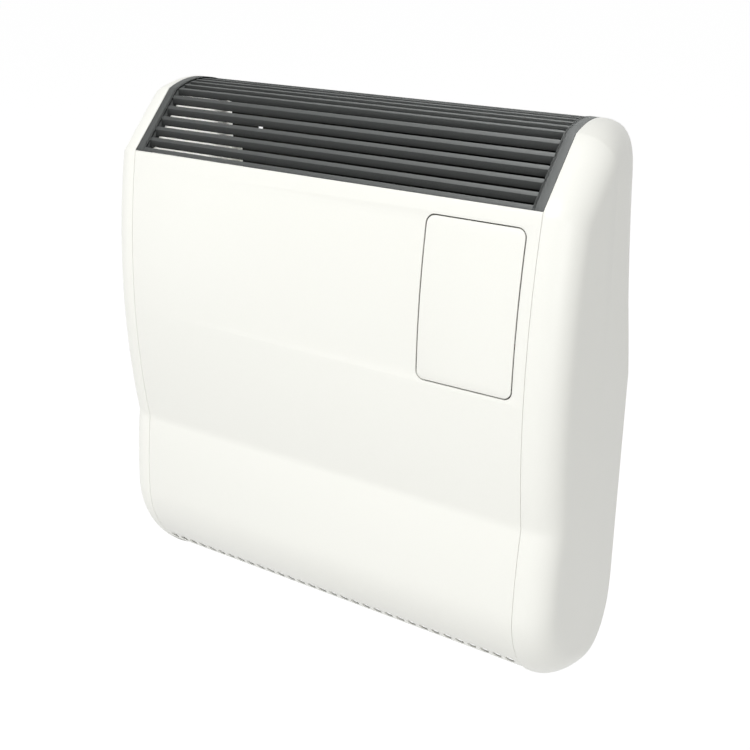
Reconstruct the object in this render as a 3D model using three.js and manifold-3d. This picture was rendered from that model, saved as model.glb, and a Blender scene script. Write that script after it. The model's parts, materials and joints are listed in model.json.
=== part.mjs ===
// A fan-assisted, balanced-flue gas heater that hangs on a wall.
//
// Millimetres, +Z up. The wall is the plane Y = 0 and the front of the heater looks along -Y.
// Shapes are laid out by x (to the right), depth (out from the wall) and height (up from the
// lowest point of the casing). The last lines lower everything so that the origin lies on the
// back plate's wall face.

import * as THREE from 'three';
import { mergeVertices } from 'three/addons/utils/BufferGeometryUtils.js';
import Module from 'manifold-3d';

const wasm = await Module();
wasm.setup();

// ---------------------------------------------------------------- clearances
const SEAT = 0.3; // between two pieces that rest on each other
const SEAM = 0.5; // between the casing's visible parts
const RUNNING = 0.12; // around a shaft or pin that turns
const DOOR_GAP = 1.6; // all round the control door
const KEY_GAP = 0.5; // round a button or a rocker
const PAST = 1; // how far a cutter runs past what it cuts, or a piece into what it joins
const REACH = 20; // how far a cutter runs past a curved face
const NEAR = 0.5; // outline points nearer than this to a cut are dropped
const ORIGIN_HEIGHT = 352; // of the origin, on the back plate's wall face

// ---------------------------------------------------------------- casing outline
const CAP_WIDTH = 40;
const CAP_RIM = 2; // straight part of a cap next to the seam, at least
const CAP_ARC_STEPS = 6; // facets across a cap's rounded edge
const SHELL = 2.5; // wall of the casing mouldings
const FRONT_FILLET = 36.7; // of the end caps' front edges
const REAR_FILLET = 10.4; // of their rear edges
const SHOULDER_START = 370; // height where a cap's rear edge begins to widen into its shoulder
const SHOULDER_TOP_DEPTH = 90; // how far forward it draws the cap's outer face at the top
const SHOULDER_TOP_HEIGHT = 612; // height that this is drawn towards
const SHOULDER_DEPTH = 34; // how far forward it draws the face lower down
const SHOULDER_HEIGHT = 470; // height that this is drawn towards
const REAR_CLEARANCE = 1; // caps to the wall
const BELLY_DEPTH = 201;
const BELLY_HEIGHT = 130;
const BELLY_REACH = 53; // of the underside's curve behind the belly
const BELLY_FULLNESS = 0.54; // how squarely the underside turns up to the belly
const CREASE_DEPTH = 189.8;
const CREASE_HEIGHT = 238.5;
const CREASE_DRAW = 1.5; // of the belly's curve on its way up to the crease
const BOW_DEPTH = 200.25; // of the bowed front half way up
const GRILLE_FOOT_DEPTH = 178.2;
const GRILLE_FOOT_HEIGHT = 592;
const SLOPE_RUN = 67.1; // of the grille's slope
const SLOPE_RISE = 66.3;
const GRILLE_FOLD_DEPTH = GRILLE_FOOT_DEPTH - SLOPE_RUN;
const GRILLE_FOLD_HEIGHT = GRILLE_FOOT_HEIGHT + SLOPE_RISE;
const CROWN_RISE = 1.7; // of the crown's rear edge above the fold
const TOP_REAR_DEPTH = 27;
const TOP_REAR_HEIGHT = GRILLE_FOLD_HEIGHT + CROWN_RISE;
const TOP_RISE = 7.9; // of the crown above the fold and the rear edge
const BOTTOM_DEPTH = 68; // where the underside is lowest
const BOTTOM_CORNER = 98; // height of the rounding between the underside and the wall
const BOTTOM_FULLNESS = 0.59; // how squarely the underside turns up to the wall
const TOP_CORNER = 30; // height of the rounding between the top and the wall
const TOP_CORNER_DROP = 6.8; // of the top's line as it reaches the wall
const LIP_HEIGHT = 43; // lower edge of the front panel

// ---------------------------------------------------------------- front panel, grille and door
const INTAKE_HOLES = 32;
const INTAKE_PITCH = 16.9;
const INTAKE_WIDTH = 11.5;
const INTAKE_LOW = 47;
const INTAKE_HIGH = 57;
const RIB_WIDTH = 12.75;
const RIB_DEPTH = 12;
const RIB_WEB = 3;
const RAIL = 6; // width of the grille's lower and rear rails
const RAIL_DEPTH = 9;
const SLAT_PITCH = 11.3;
const SLAT_THICKNESS = 3.5;
const SLAT_FACE = 7.8;
const SLAT_RECESS = 1.5; // below the ribs
const FIRST_SLAT = 13; // from the grille's foot to its first slat
const DOOR_WIDTH = 114.6;
const DOOR_HEIGHT = 178.8;
const DOOR_MARGIN = 15.3; // from the door to the right-hand seam
const DOOR_BOTTOM = 393.4;
const DOOR_CORNER = 9;
const HINGE_INSET = 5.5; // from the door's outer face back to its hinge axis
const HINGE_RISE = 9.6; // from the door's lower edge up to its hinge axis
const HINGE_PIN_RADIUS = 1.25;
const HINGE_PIN_LENGTH = 14;
const BARREL_RADIUS = 2.7;
const BARREL_LENGTH = 11;
const BARREL_END_GAP = 2; // from the tray's wall to the barrel
const BARREL_LUG = 4; // thickness of the lug between a barrel and the door

// ---------------------------------------------------------------- chassis
const SHEET = 2; // steel
const BACK_PLATE_LOW = 62;
const BACK_PLATE_HIGH = 632;
const FRAME_INSET = 7; // from the seam with an end cap to a side frame's inner face
const SIDE_FLANGE = 16;
const SIDE_FRAME_STEP = 22; // from its front edge's top up to the grille's foot
const SIDE_FRAME_SETBACK = 4; // of its corner under the grille's lower rail
const GLAND_INSET = 22; // of the cable gland, in a tab of the back plate, from the side frame
const GLAND_DEPTH = 22;
const GLAND_RADIUS = 8;
const GLAND_BORE = 4;
const GLAND_NUT = 3; // how far its nuts stand out round it
const GLAND_NUT_HEIGHT = 5.7;
const GLAND_HEAD = 8; // below the tab
const GLAND_TAIL = 10; // above the tab
const GLAND_TAB = 14; // margin of the tab round the gland
const SLOT_INSET = 48; // of the hanging slots from the side frames
const SLOT_LOW = 90;
const SLOT_HIGH = 600;
const SLOT_HALF_WIDTH = 4;
const SLOT_LENGTH = 22;
const CAP_BOSS_RADIUS = 6;
const CAP_BOSS_DEPTH = 120;
const CAP_BOSS_LOW = 150;
const CAP_BOSS_HIGH = 560;

// ---------------------------------------------------------------- control tray
const FASCIA_DEPTH = 157; // front of the control fascia
const FASCIA = 3;
const TRAY_WALL = 2.3;
const TRAY_REBATE = 2; // the tray is this much wider than the opening in the front panel
const KNOB_RADIUS = 20;
const KNOB_THICKNESS = 14;
const KNOB_GRIP_WIDTH = 7;
const KNOB_GRIP_LENGTH = 34;
const KNOB_GRIP_PROUD = 5;
const KNOB_SHAFT_REACH = 9; // behind the fascia
const THERMOSTAT_SIZE = 22;
const THERMOSTAT_DEPTH = 12;
const KNOB_RISE = 125; // above the door's lower edge
const KNOB_SHAFT_RADIUS = 3;
const KEY_RISE = 42; // of the row of switches above the door's lower edge
const KEY_SPACING = 33;
const ROCKER_WIDTH = 13;
const ROCKER_HEIGHT = 21;
const ROCKER_THICKNESS = 10; // from its axis to its face
const ROCKER_DRAW = 1.4; // of its face's ends, so that they clear the fascia as it tips
const ROCKER_DISH = 1.6; // hollow of its face
const ROCKER_ROOT = 3; // behind its axis
const ROCKER_ROOT_HEIGHT = 14.7;
const ROCKER_AXIS = 3; // behind the fascia
const TRUNNION_REACH = 1.5; // of a trunnion into the switch body
const ROCKER_TILT = 7; // degrees, from the middle to either side
const TRUNNION_RADIUS = 1.5;
const SWITCH_WALL = 2.2;
const SWITCH_DEPTH = 14;
const BUTTON_RADIUS = 6;
const BUTTON_TRAVEL = 2;
const BUTTON_PROUD = 4;
const BUTTON_SKIRT = 2; // behind the fascia
const STEM_RADIUS = 2.5;
const STEM_REACH = 8; // behind the fascia
const LENS_RADIUS = 3;
const LENS_RISE = 68;
const LENS_SPACING = 16;
const LENS_REACH = 4; // behind the fascia
const BOARD_WIDTH = 96;
const BOARD_HEIGHT = 104;
const BOARD_THICKNESS = 1.6;
const BOARD_STANDOFF = 26; // behind the fascia
const BOARD_DROP = 8; // below the top of the tray
const STANDOFF_RADIUS = 4;
const STANDOFF_INSET = 6; // from the board's edges
const COVER_WALL = 2;
const COVER_DEPTH = 34;
const MAGNET_WIDTH = 20;
const MAGNET_DEPTH = 12;
const MAGNET_HEIGHT = 14.7;

// ---------------------------------------------------------------- heat exchanger and burner
const ELECTRODE_ROOM = 43; // from the left-hand side frame to the exchanger
const EXCHANGER_LENGTH = 330;
const EXCHANGER_REAR = 45;
const EXCHANGER_DEPTH = 80;
const EXCHANGER_LOW = 237;
const EXCHANGER_HEIGHT = 275;
const EXCHANGER_WALL = 4;
const FIN_COUNT = 15;
const FIN_PITCH = EXCHANGER_LENGTH / FIN_COUNT;
const FIN_THICKNESS = 3;
const FIN_DEPTH = 24;
const BRACKET_WIDTH = 40;
const BRACKET_INSET = 40;
const BRACKET_FLUE_SPACING = 79; // from the right-hand bracket's middle to the flue's axis
const BRACKET_HEIGHT = 235;
const BURNER_RADIUS = 18;
const BURNER_WALL = 2;
const BURNER_RISE = 37; // above the exchanger's underside
const BURNER_SLOTS = 9;
const BURNER_SLOT_PITCH = 28;
const BURNER_SLOT_LENGTH = 18;
const BURNER_SLOT_WIDTH = 4;
const BURNER_PIN_RADIUS = 5; // pin that carries the burner's blind end
const BURNER_PIN_LENGTH = 26;
const BURNER_INSERT = 2; // into the blower's duct
const BURNER_FLANGE = 64;
const BURNER_FLANGE_THICKNESS = 4;
const FLANGE_SCREW_RADIUS = 3.5;
const FLANGE_SCREW_HEAD = 4;
const FLANGE_SCREW_INSET = 8; // from the flange's edges
const ELECTRODE_RADIUS = 4.5;
const ELECTRODE_RISE = 75;
const ELECTRODE_SPACING = 30;
const ELECTRODE_TAIL = 24; // outside the exchanger
const ELECTRODE_NOSE = 14; // inside it
const ELECTRODE_WIRE_RADIUS = 1.5;
const ELECTRODE_WIRE_LENGTH = 30;
const ELECTRODE_STUD_RADIUS = 2;
const ELECTRODE_STUD_LENGTH = 8;
const LIMIT_RADIUS = 11; // limit thermostat
const LIMIT_DROP = 40; // below the exchanger's top
const LIMIT_THICKNESS = 6;
const LIMIT_BODY_DEPTH = 8;
const LIMIT_BODY_HEIGHT = 14;
const LIMIT_BODY_LENGTH = 7;
const FLUE_RADIUS = 28;
const FLUE_WALL = 3;
const FLUE_FLANGE_RADIUS = 40;
const FLUE_FLANGE = 3; // thickness
const FLUE_COLLAR = 7; // how far the collar at the back plate stands out
const FLUE_RECESS = 0.5; // of the spigots' ends inside the wall face
const FLUE_INSET = 65; // from the exchanger's right-hand end
const FLUE_RISE = 230;

// ---------------------------------------------------------------- combustion fan and gas train
const BURNER_NECK = 29; // from the exchanger to the blower's duct
const BLOWER_ROOM = 31; // from the blower to the right-hand side frame
const BLOWER_HEIGHT = 302;
const BLOWER_DEPTH = 46;
const BLOWER_RADIUS = 52;
const BLOWER_WALL = 2.5;
const BLOWER_WHEEL_RADIUS = 42;
const BLOWER_EYE_RADIUS = 25;
const BLOWER_BLADES = 12;
const BLOWER_SHAFT_RADIUS = 4;
const BLOWER_SHAFT_HOLE = 6;
const BLOWER_HUB_RADIUS = 9;
const BLOWER_DISC = 2;
const BLOWER_DISC_GAP = 6; // from the disc to the housing's front
const BLADE_LENGTH = 16;
const BLADE_DEPTH = 24;
const BLADE_THICKNESS = 1.6;
const DUCT_REACH = 51; // of the outlet duct to the left of the blower's axis
const DUCT_HALF_HEIGHT = 22;
const MOTOR_RADIUS = 30;
const MOTOR_LENGTH = 44;
const MOTOR_SHAFT_REACH = 20; // of a shaft into its motor
const VALVE_SHIFT = 7; // of the gas valve's middle to the right of the blower's axis
const VALVE_DEPTH = 88;
const VALVE_LOW = 132;
const VALVE_WIDTH = 76;
const VALVE_THICKNESS = 54;
const VALVE_HEIGHT = 52;
const VALVE_BRACKET_FLANGE = 30;
const VALVE_BRACKET_INSET = 6; // of the bracket's ends and front inside the valve's
const COIL_RADIUS = 13;
const COIL_HEIGHT = 24;
const INLET_RADIUS = 7.5;
const INLET_BORE = 5.5;
const INLET_PLUG = 3; // length of the pipe's closed end at the valve
const INLET_SOCKET = 8; // of the union's bore under the pipe
const UNION_RADIUS = 15.5;
const UNION_LENGTH = 22;
const UNION_LOW = 30;
const FEED_RADIUS = 4;
const FEED_INSET = 9; // from the valve's left-hand end
const FEED_STRAIGHT = 8;
const INJECTOR_RADIUS = 7;
const INJECTOR_LENGTH = 15;
const INJECTOR_NOSE = 6; // inside the duct
const INJECTOR_INSET = 19; // from the open end of the blower's duct

// ---------------------------------------------------------------- room-air fan
const ROTOR_RADIUS = 32;
const ROTOR_ROOM = 53; // from the left-hand side frame to the rotor
const ROTOR_LENGTH = 280;
const ROTOR_DEPTH = 105;
const ROTOR_HEIGHT = 122;
const ROTOR_BLADES = 16;
const ROTOR_DISC = 3;
const ROTOR_SHAFT_RADIUS = 4;
const ROTOR_BLADE_THICKNESS = 1.4;
const ROTOR_BLADE_WIDTH = 9;
const ROTOR_BLADE_INSET = 5.6; // of a blade's middle inside the rim
const ROTOR_BLADE_PITCH = 0.5; // radians
const ROTOR_END_GAP = 3;
const BEARING_RADIUS = 9;
const BEARING_FLANGE = 3;
const SCROLL_SHEET = 1.5;
const SCROLL_TOP = 217;

// ---------------------------------------------------------------- small fittings
const PRESSURE_SWITCH_RADIUS = 26;
const PRESSURE_SWITCH_DEPTH = 16;
const PRESSURE_CAP_RADIUS = 16;
const PRESSURE_CAP_DEPTH = 8;
const PRESSURE_SWITCH_SHIFT = 20; // to the right of the door's middle
const PRESSURE_SWITCH_RISE = 25; // above the door's lower edge
const HOSE_TAIL_RADIUS = 2.5;
const HOSE_TAIL_LENGTH = 16;
const HOSE_TAIL_SPACING = 16;
const SENSOR_DEPTH = 124;
const SENSOR_RISE = 20; // above the back plate's lower edge
const SENSOR_SIZE = 12;
const SENSOR_THICKNESS = 5;
const SENSOR_BULB_RADIUS = 2.5;
const SENSOR_BULB_LENGTH = 20;

// ---------------------------------------------------------------- the width and what follows from it
// The casing is as wide as the row of exchanger, burner neck and blower between the side frames.
const DUCT_ROOM = ELECTRODE_ROOM + EXCHANGER_LENGTH + BURNER_NECK; // to the duct's open end
const FRAME_SPAN = DUCT_ROOM + DUCT_REACH + BLOWER_RADIUS + BLOWER_ROOM;
const PANEL_WIDTH = FRAME_SPAN + 2 * FRAME_INSET; // between the two seams with the end caps
const PANEL_HALF = PANEL_WIDTH / 2;
const SIDE_FRAME_X = PANEL_HALF - FRAME_INSET;
const SLOT_X = SIDE_FRAME_X - SLOT_INSET;
const GLAND_X = SIDE_FRAME_X - GLAND_INSET;
const EXCHANGER_LEFT = ELECTRODE_ROOM - SIDE_FRAME_X;
const DUCT_LEFT = DUCT_ROOM - SIDE_FRAME_X;
const BLOWER_X = DUCT_LEFT + DUCT_REACH;
const VALVE_X = BLOWER_X + VALVE_SHIFT;
const INJECTOR_X = DUCT_LEFT + INJECTOR_INSET;
const ROTOR_LEFT = ROTOR_ROOM - SIDE_FRAME_X;

// How far out of the wall a cutter runs to pass the whole front.
const CUT_FRONT = Math.max(BELLY_DEPTH, BOW_DEPTH) + REACH;

// ---------------------------------------------------------------- turning geometry into solids

function solid(geometry) {
  const plain = geometry.clone();
  plain.deleteAttribute('normal');
  plain.deleteAttribute('uv');
  const merged = mergeVertices(plain, 1e-4);
  return new wasm.Manifold(new wasm.Mesh({
    numProp: 3,
    vertProperties: new Float32Array(merged.attributes.position.array),
    triVerts: new Uint32Array(merged.index.array),
  }));
}

// A box between two corners given by x, depth and height.
function block(x0, x1, depth0, depth1, height0, height1) {
  const box = new THREE.BoxGeometry(x1 - x0, depth1 - depth0, height1 - height0);
  box.translate((x0 + x1) / 2, -(depth0 + depth1) / 2, (height0 + height1) / 2);
  return solid(box);
}

// A bar from x0 to x1 whose section is a list of [depth, height] points.
function barAlongX(section, x0, x1) {
  const shape = new THREE.Shape(section.map(([depth, height]) => new THREE.Vector2(-depth, height)));
  const bar = new THREE.ExtrudeGeometry(shape, { depth: x1 - x0, bevelEnabled: false });
  const lieAlongX = new THREE.Matrix4().set(0, 0, 1, x0, 1, 0, 0, 0, 0, 1, 0, 0, 0, 0, 0, 1);
  return solid(bar.applyMatrix4(lieAlongX));
}

// A plate with a THREE.Shape outline in x and height, from depth0 out to depth1.
function plateFacingFront(shape, depth0, depth1, curveSegments = 6) {
  const plate = new THREE.ExtrudeGeometry(shape, {
    depth: depth1 - depth0,
    bevelEnabled: false,
    curveSegments,
  });
  plate.rotateX(Math.PI / 2);
  plate.translate(0, -depth0, 0);
  return solid(plate);
}

function roundedRectangle(x0, x1, height0, height1, radius) {
  const shape = new THREE.Shape();
  shape.moveTo(x0 + radius, height0);
  shape.lineTo(x1 - radius, height0);
  shape.absarc(x1 - radius, height0 + radius, radius, -Math.PI / 2, 0);
  shape.lineTo(x1, height1 - radius);
  shape.absarc(x1 - radius, height1 - radius, radius, 0, Math.PI / 2);
  shape.lineTo(x0 + radius, height1);
  shape.absarc(x0 + radius, height1 - radius, radius, Math.PI / 2, Math.PI);
  shape.lineTo(x0, height0 + radius);
  shape.absarc(x0 + radius, height0 + radius, radius, Math.PI, Math.PI * 1.5);
  return shape;
}

// Round bars along x, along the depth and along the height.
function rodAlongX(radius, x0, x1, depth, height, sides = 20) {
  const rod = new THREE.CylinderGeometry(radius, radius, x1 - x0, sides);
  rod.rotateZ(Math.PI / 2);
  rod.translate((x0 + x1) / 2, -depth, height);
  return solid(rod);
}

function rodAlongDepth(radius, x, depth0, depth1, height, sides = 20) {
  const rod = new THREE.CylinderGeometry(radius, radius, depth1 - depth0, sides);
  rod.translate(x, -(depth0 + depth1) / 2, height);
  return solid(rod);
}

function rodAlongHeight(radius, x, depth, height0, height1, sides = 20) {
  const rod = new THREE.CylinderGeometry(radius, radius, height1 - height0, sides);
  rod.rotateX(Math.PI / 2);
  rod.translate(x, -depth, (height0 + height1) / 2);
  return solid(rod);
}

function join(pieces) {
  return pieces.reduce((whole, piece) => whole.add(piece));
}

function cut(body, tools) {
  return tools.reduce((rest, tool) => rest.subtract(tool), body);
}

// ---------------------------------------------------------------- the casing's outline
// Curves run over [depth, height] pairs; samples leave out the first point when joined on.
function samples(curve, steps, from = 0) {
  return curve.getPoints(steps).slice(from).map((point) => [point.x, point.y]);
}

function quadratic(start, control, end) {
  return new THREE.QuadraticBezierCurve(
    new THREE.Vector2(...start),
    new THREE.Vector2(...control),
    new THREE.Vector2(...end),
  );
}

const underside = new THREE.CubicBezierCurve(
  new THREE.Vector2(BOTTOM_DEPTH, 0),
  new THREE.Vector2(BELLY_DEPTH - BELLY_REACH, 0),
  new THREE.Vector2(BELLY_DEPTH, BELLY_HEIGHT * BELLY_FULLNESS),
  new THREE.Vector2(BELLY_DEPTH, BELLY_HEIGHT),
);
const belly = quadratic(
  [BELLY_DEPTH, BELLY_HEIGHT],
  [BELLY_DEPTH - CREASE_DRAW, (BELLY_HEIGHT + CREASE_HEIGHT) / 2],
  [CREASE_DEPTH, CREASE_HEIGHT],
);
const bow = quadratic(
  [CREASE_DEPTH, CREASE_HEIGHT],
  [
    2 * BOW_DEPTH - (CREASE_DEPTH + GRILLE_FOOT_DEPTH) / 2,
    (CREASE_HEIGHT + GRILLE_FOOT_HEIGHT) / 2,
  ],
  [GRILLE_FOOT_DEPTH, GRILLE_FOOT_HEIGHT],
);
const crown = quadratic(
  [GRILLE_FOLD_DEPTH, GRILLE_FOLD_HEIGHT],
  [
    (GRILLE_FOLD_DEPTH + TOP_REAR_DEPTH) / 2,
    (GRILLE_FOLD_HEIGHT + TOP_REAR_HEIGHT) / 2 + 2 * TOP_RISE,
  ],
  [TOP_REAR_DEPTH, TOP_REAR_HEIGHT],
);
const frontLine = [
  ...samples(underside, 8),
  ...samples(belly, 4, 1),
  ...samples(bow, 11, 1),
];
const topCorner = quadratic(
  [TOP_REAR_DEPTH, TOP_REAR_HEIGHT],
  [REAR_CLEARANCE, TOP_REAR_HEIGHT - TOP_CORNER_DROP],
  [REAR_CLEARANCE, TOP_REAR_HEIGHT - TOP_CORNER],
);
const grilleLine = [
  [GRILLE_FOOT_DEPTH, GRILLE_FOOT_HEIGHT],
  ...samples(crown, 7),
];
const bottomCorner = new THREE.CubicBezierCurve(
  new THREE.Vector2(REAR_CLEARANCE, BOTTOM_CORNER),
  new THREE.Vector2(REAR_CLEARANCE, BOTTOM_CORNER * (1 - BOTTOM_FULLNESS)),
  new THREE.Vector2(BOTTOM_DEPTH - (BOTTOM_DEPTH - REAR_CLEARANCE) * BOTTOM_FULLNESS, 0),
  new THREE.Vector2(BOTTOM_DEPTH, 0),
);
const rearRise = TOP_REAR_HEIGHT - TOP_CORNER - SHOULDER_START;
const rearEdge = [1, 0.75, 0.5, 0.25, 0].slice(1)
  .map((share) => [REAR_CLEARANCE, SHOULDER_START + share * rearRise]);
const capLine = [
  ...frontLine,
  ...grilleLine.slice(1),
  ...samples(topCorner, 5, 1),
  ...rearEdge,
  [REAR_CLEARANCE, (SHOULDER_START + BOTTOM_CORNER) / 2],
  ...samples(bottomCorner, 5).slice(0, -1),
];

// Where a line of points crosses a given depth (axis 0) or height (axis 1).
function crossing(line, axis, value) {
  const at = line.findIndex((point, index) => index > 0
    && (line[index - 1][axis] - value) * (point[axis] - value) <= 0);
  const [before, after] = [line[at - 1], line[at]];
  const share = (value - before[axis]) / (after[axis] - before[axis]);
  return [0, 1].map((k) => before[k] + share * (after[k] - before[k]));
}

function depthAt(height) {
  return crossing(frontLine, 1, height)[0];
}

function topAt(depth) {
  return crossing(grilleLine, 0, depth)[1];
}

function frontBetween(low, high) {
  return [
    crossing(frontLine, 1, low),
    ...frontLine.filter(([, height]) => height > low + NEAR && height < high - NEAR),
    crossing(frontLine, 1, high),
  ];
}

// The line moved to the inside of the casing by a distance, square to itself at every point.
function inset(line, distance, closed = false) {
  const count = line.length;
  const near = (index) => {
    if (closed) return line[(index + count) % count];
    return line[Math.min(Math.max(index, 0), count - 1)];
  };
  const normal = (a, b) => new THREE.Vector2(a[1] - b[1], b[0] - a[0]).normalize();
  return line.map((point, index) => {
    const before = normal(near(index - 1), point);
    const after = normal(point, near(index + 1));
    if (before.length() === 0) before.copy(after);
    if (after.length() === 0) after.copy(before);
    const middle = before.clone().add(after).normalize();
    const reach = (typeof distance === 'number' ? distance : distance[index]) / middle.dot(before);
    return [point[0] + middle.x * reach, point[1] + middle.y * reach];
  });
}

// A sheet of the given thickness that follows a line.
function sheetSection(line, thickness) {
  return [...line, ...inset(line, thickness).reverse()];
}

// ---------------------------------------------------------------- end caps
// A cap's outer face is smaller than its outline all round, and at the top rear it slopes forward
// as one soft shoulder. Its sides round over from the outline to that face.
function capFace() {
  const radii = capLine.map(([depth]) => {
    const forward = THREE.MathUtils.clamp(depth / GRILLE_FOLD_DEPTH, 0, 1);
    return THREE.MathUtils.lerp(REAR_FILLET, FRONT_FILLET, forward);
  });
  const face = inset(capLine, radii, true);
  const fold = frontLine.length;
  const start = capLine.findIndex(([, height], index) => index > fold && height <= SHOULDER_START);
  const shoulder = new THREE.CubicBezierCurve(
    new THREE.Vector2(...face[fold]),
    new THREE.Vector2(SHOULDER_TOP_DEPTH, SHOULDER_TOP_HEIGHT),
    new THREE.Vector2(SHOULDER_DEPTH, SHOULDER_HEIGHT),
    new THREE.Vector2(REAR_CLEARANCE + REAR_FILLET, SHOULDER_START),
  );
  const runs = [0];
  for (let index = fold; index < start; index += 1) {
    const [here, next] = [capLine[index], capLine[index + 1]];
    runs.push(runs[runs.length - 1] + Math.hypot(next[0] - here[0], next[1] - here[1]));
  }
  runs.forEach((run, index) => {
    const point = shoulder.getPoint(run / runs[runs.length - 1]);
    face[fold + index] = [point.x, point.y];
  });
  return face;
}

function capBody(wall) {
  const edge = wall > 0 ? inset(capLine, wall, true) : capLine;
  const face = capFace();
  const rings = [];
  for (let step = -1; step <= CAP_ARC_STEPS; step += 1) {
    const angle = (Math.max(step, 0) / CAP_ARC_STEPS) * (Math.PI / 2);
    rings.push(edge.map((point, index) => {
      const drawn = face[index];
      const draw = Math.hypot(drawn[0] - point[0], drawn[1] - point[1]);
      const across = Math.min(draw, CAP_WIDTH - CAP_RIM - wall);
      const x = step < 0 ? 0 : CAP_WIDTH - wall - across + across * Math.sin(angle);
      const share = 1 - Math.cos(angle);
      return new THREE.Vector3(
        x,
        -THREE.MathUtils.lerp(point[0], drawn[0], share),
        THREE.MathUtils.lerp(point[1], drawn[1], share),
      );
    }));
  }
  return loft(rings);
}

// A solid through rings with the same number of points, stacked along +x.
function loft(rings) {
  const flat = (ring) => ring.map((point) => new THREE.Vector2(point.y, point.z));
  if (THREE.ShapeUtils.isClockWise(flat(rings[0]))) rings.forEach((ring) => ring.reverse());
  const count = rings[0].length;
  const last = (rings.length - 1) * count;
  const faces = [];
  for (let ring = 0; ring < rings.length - 1; ring += 1) {
    for (let point = 0; point < count; point += 1) {
      const a = ring * count + point;
      const b = ring * count + ((point + 1) % count);
      faces.push(a, b, b + count, a, b + count, a + count);
    }
  }
  const ends = (ring) => THREE.ShapeUtils.triangulateShape(flat(ring), []);
  ends(rings[0]).forEach(([a, b, c]) => faces.push(c, b, a));
  ends(rings[rings.length - 1]).forEach(([a, b, c]) => faces.push(last + a, last + b, last + c));
  const geometry = new THREE.BufferGeometry().setFromPoints(rings.flat());
  geometry.setIndex(faces);
  return solid(geometry);
}

function endCap() {
  const shell = capBody(0).subtract(capBody(SHELL));
  const bossStart = SIDE_FRAME_X + SHEET + SEAT - PANEL_HALF - SEAM / 2;
  const bossEnd = CAP_WIDTH - SHELL / 2;
  const bosses = [CAP_BOSS_LOW, CAP_BOSS_HIGH]
    .map((height) => rodAlongX(CAP_BOSS_RADIUS, bossStart, bossEnd, CAP_BOSS_DEPTH, height, 12));
  return join([shell, ...bosses]).translate([PANEL_HALF + SEAM / 2, 0, 0]);
}

// ---------------------------------------------------------------- front panel and door
const doorRight = PANEL_HALF - DOOR_MARGIN;
const doorLeft = doorRight - DOOR_WIDTH;
const doorMiddle = (doorLeft + doorRight) / 2;
const doorTop = DOOR_BOTTOM + DOOR_HEIGHT;
const hingeHeight = DOOR_BOTTOM + HINGE_RISE;
const hingeDepth = depthAt(DOOR_BOTTOM) - HINGE_INSET;
const panelEnd = PANEL_HALF - SEAM / 2;

function doorOutline(margin) {
  return roundedRectangle(
    doorLeft - margin,
    doorRight + margin,
    DOOR_BOTTOM - margin,
    doorTop + margin,
    DOOR_CORNER + margin,
  );
}

function frontPanel() {
  const line = frontBetween(LIP_HEIGHT, GRILLE_FOOT_HEIGHT - SEAT);
  const sheet = barAlongX(sheetSection(line, SHELL), -panelEnd, panelEnd);
  const opening = plateFacingFront(doorOutline(DOOR_GAP), CREASE_DEPTH - REACH, CUT_FRONT);
  const firstHole = -((INTAKE_HOLES - 1) * INTAKE_PITCH) / 2;
  const holes = Array.from({ length: INTAKE_HOLES }, (_, index) => {
    const x = firstHole + index * INTAKE_PITCH;
    return block(
      x - INTAKE_WIDTH / 2,
      x + INTAKE_WIDTH / 2,
      depthAt(INTAKE_LOW) - REACH,
      BELLY_DEPTH,
      INTAKE_LOW,
      INTAKE_HIGH,
    );
  });
  return cut(sheet, [opening, ...holes]);
}

function controlDoor() {
  const line = frontBetween(DOOR_BOTTOM - PAST, doorTop + PAST);
  const skin = barAlongX(sheetSection(line, SHELL), doorLeft - PAST, doorRight + PAST)
    .intersect(plateFacingFront(doorOutline(0), FASCIA_DEPTH, CUT_FRONT));
  const barrels = hingeBarrels().flatMap(([x0, x1]) => [
    rodAlongX(BARREL_RADIUS, x0, x1, hingeDepth, hingeHeight, 16),
    block(
      x0,
      x1,
      hingeDepth,
      hingeDepth + HINGE_INSET - SHELL / 2,
      hingeHeight - BARREL_LUG / 2,
      hingeHeight + BARREL_LUG / 2,
    ),
  ]);
  const pinFit = HINGE_PIN_RADIUS + RUNNING;
  const bore = rodAlongX(pinFit, doorLeft, doorRight, hingeDepth, hingeHeight, 16);
  return join([skin, ...barrels]).subtract(bore);
}

// The x range of each of the door's two hinge barrels.
function hingeBarrels() {
  const start = BARREL_END_GAP + DOOR_GAP;
  return [
    [doorLeft + start, doorLeft + start + BARREL_LENGTH],
    [doorRight - start - BARREL_LENGTH, doorRight - start],
  ];
}

const trayInnerLeft = doorLeft - DOOR_GAP - TRAY_REBATE;
const trayInnerRight = doorRight + DOOR_GAP + TRAY_REBATE;

function hingePin(side) {
  const head = side < 0 ? trayInnerLeft - TRAY_WALL : trayInnerRight + TRAY_WALL;
  const tip = head - side * HINGE_PIN_LENGTH;
  const [x0, x1] = [Math.min(head, tip), Math.max(head, tip)];
  return rodAlongX(HINGE_PIN_RADIUS, x0, x1, hingeDepth, hingeHeight, 16);
}

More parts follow.
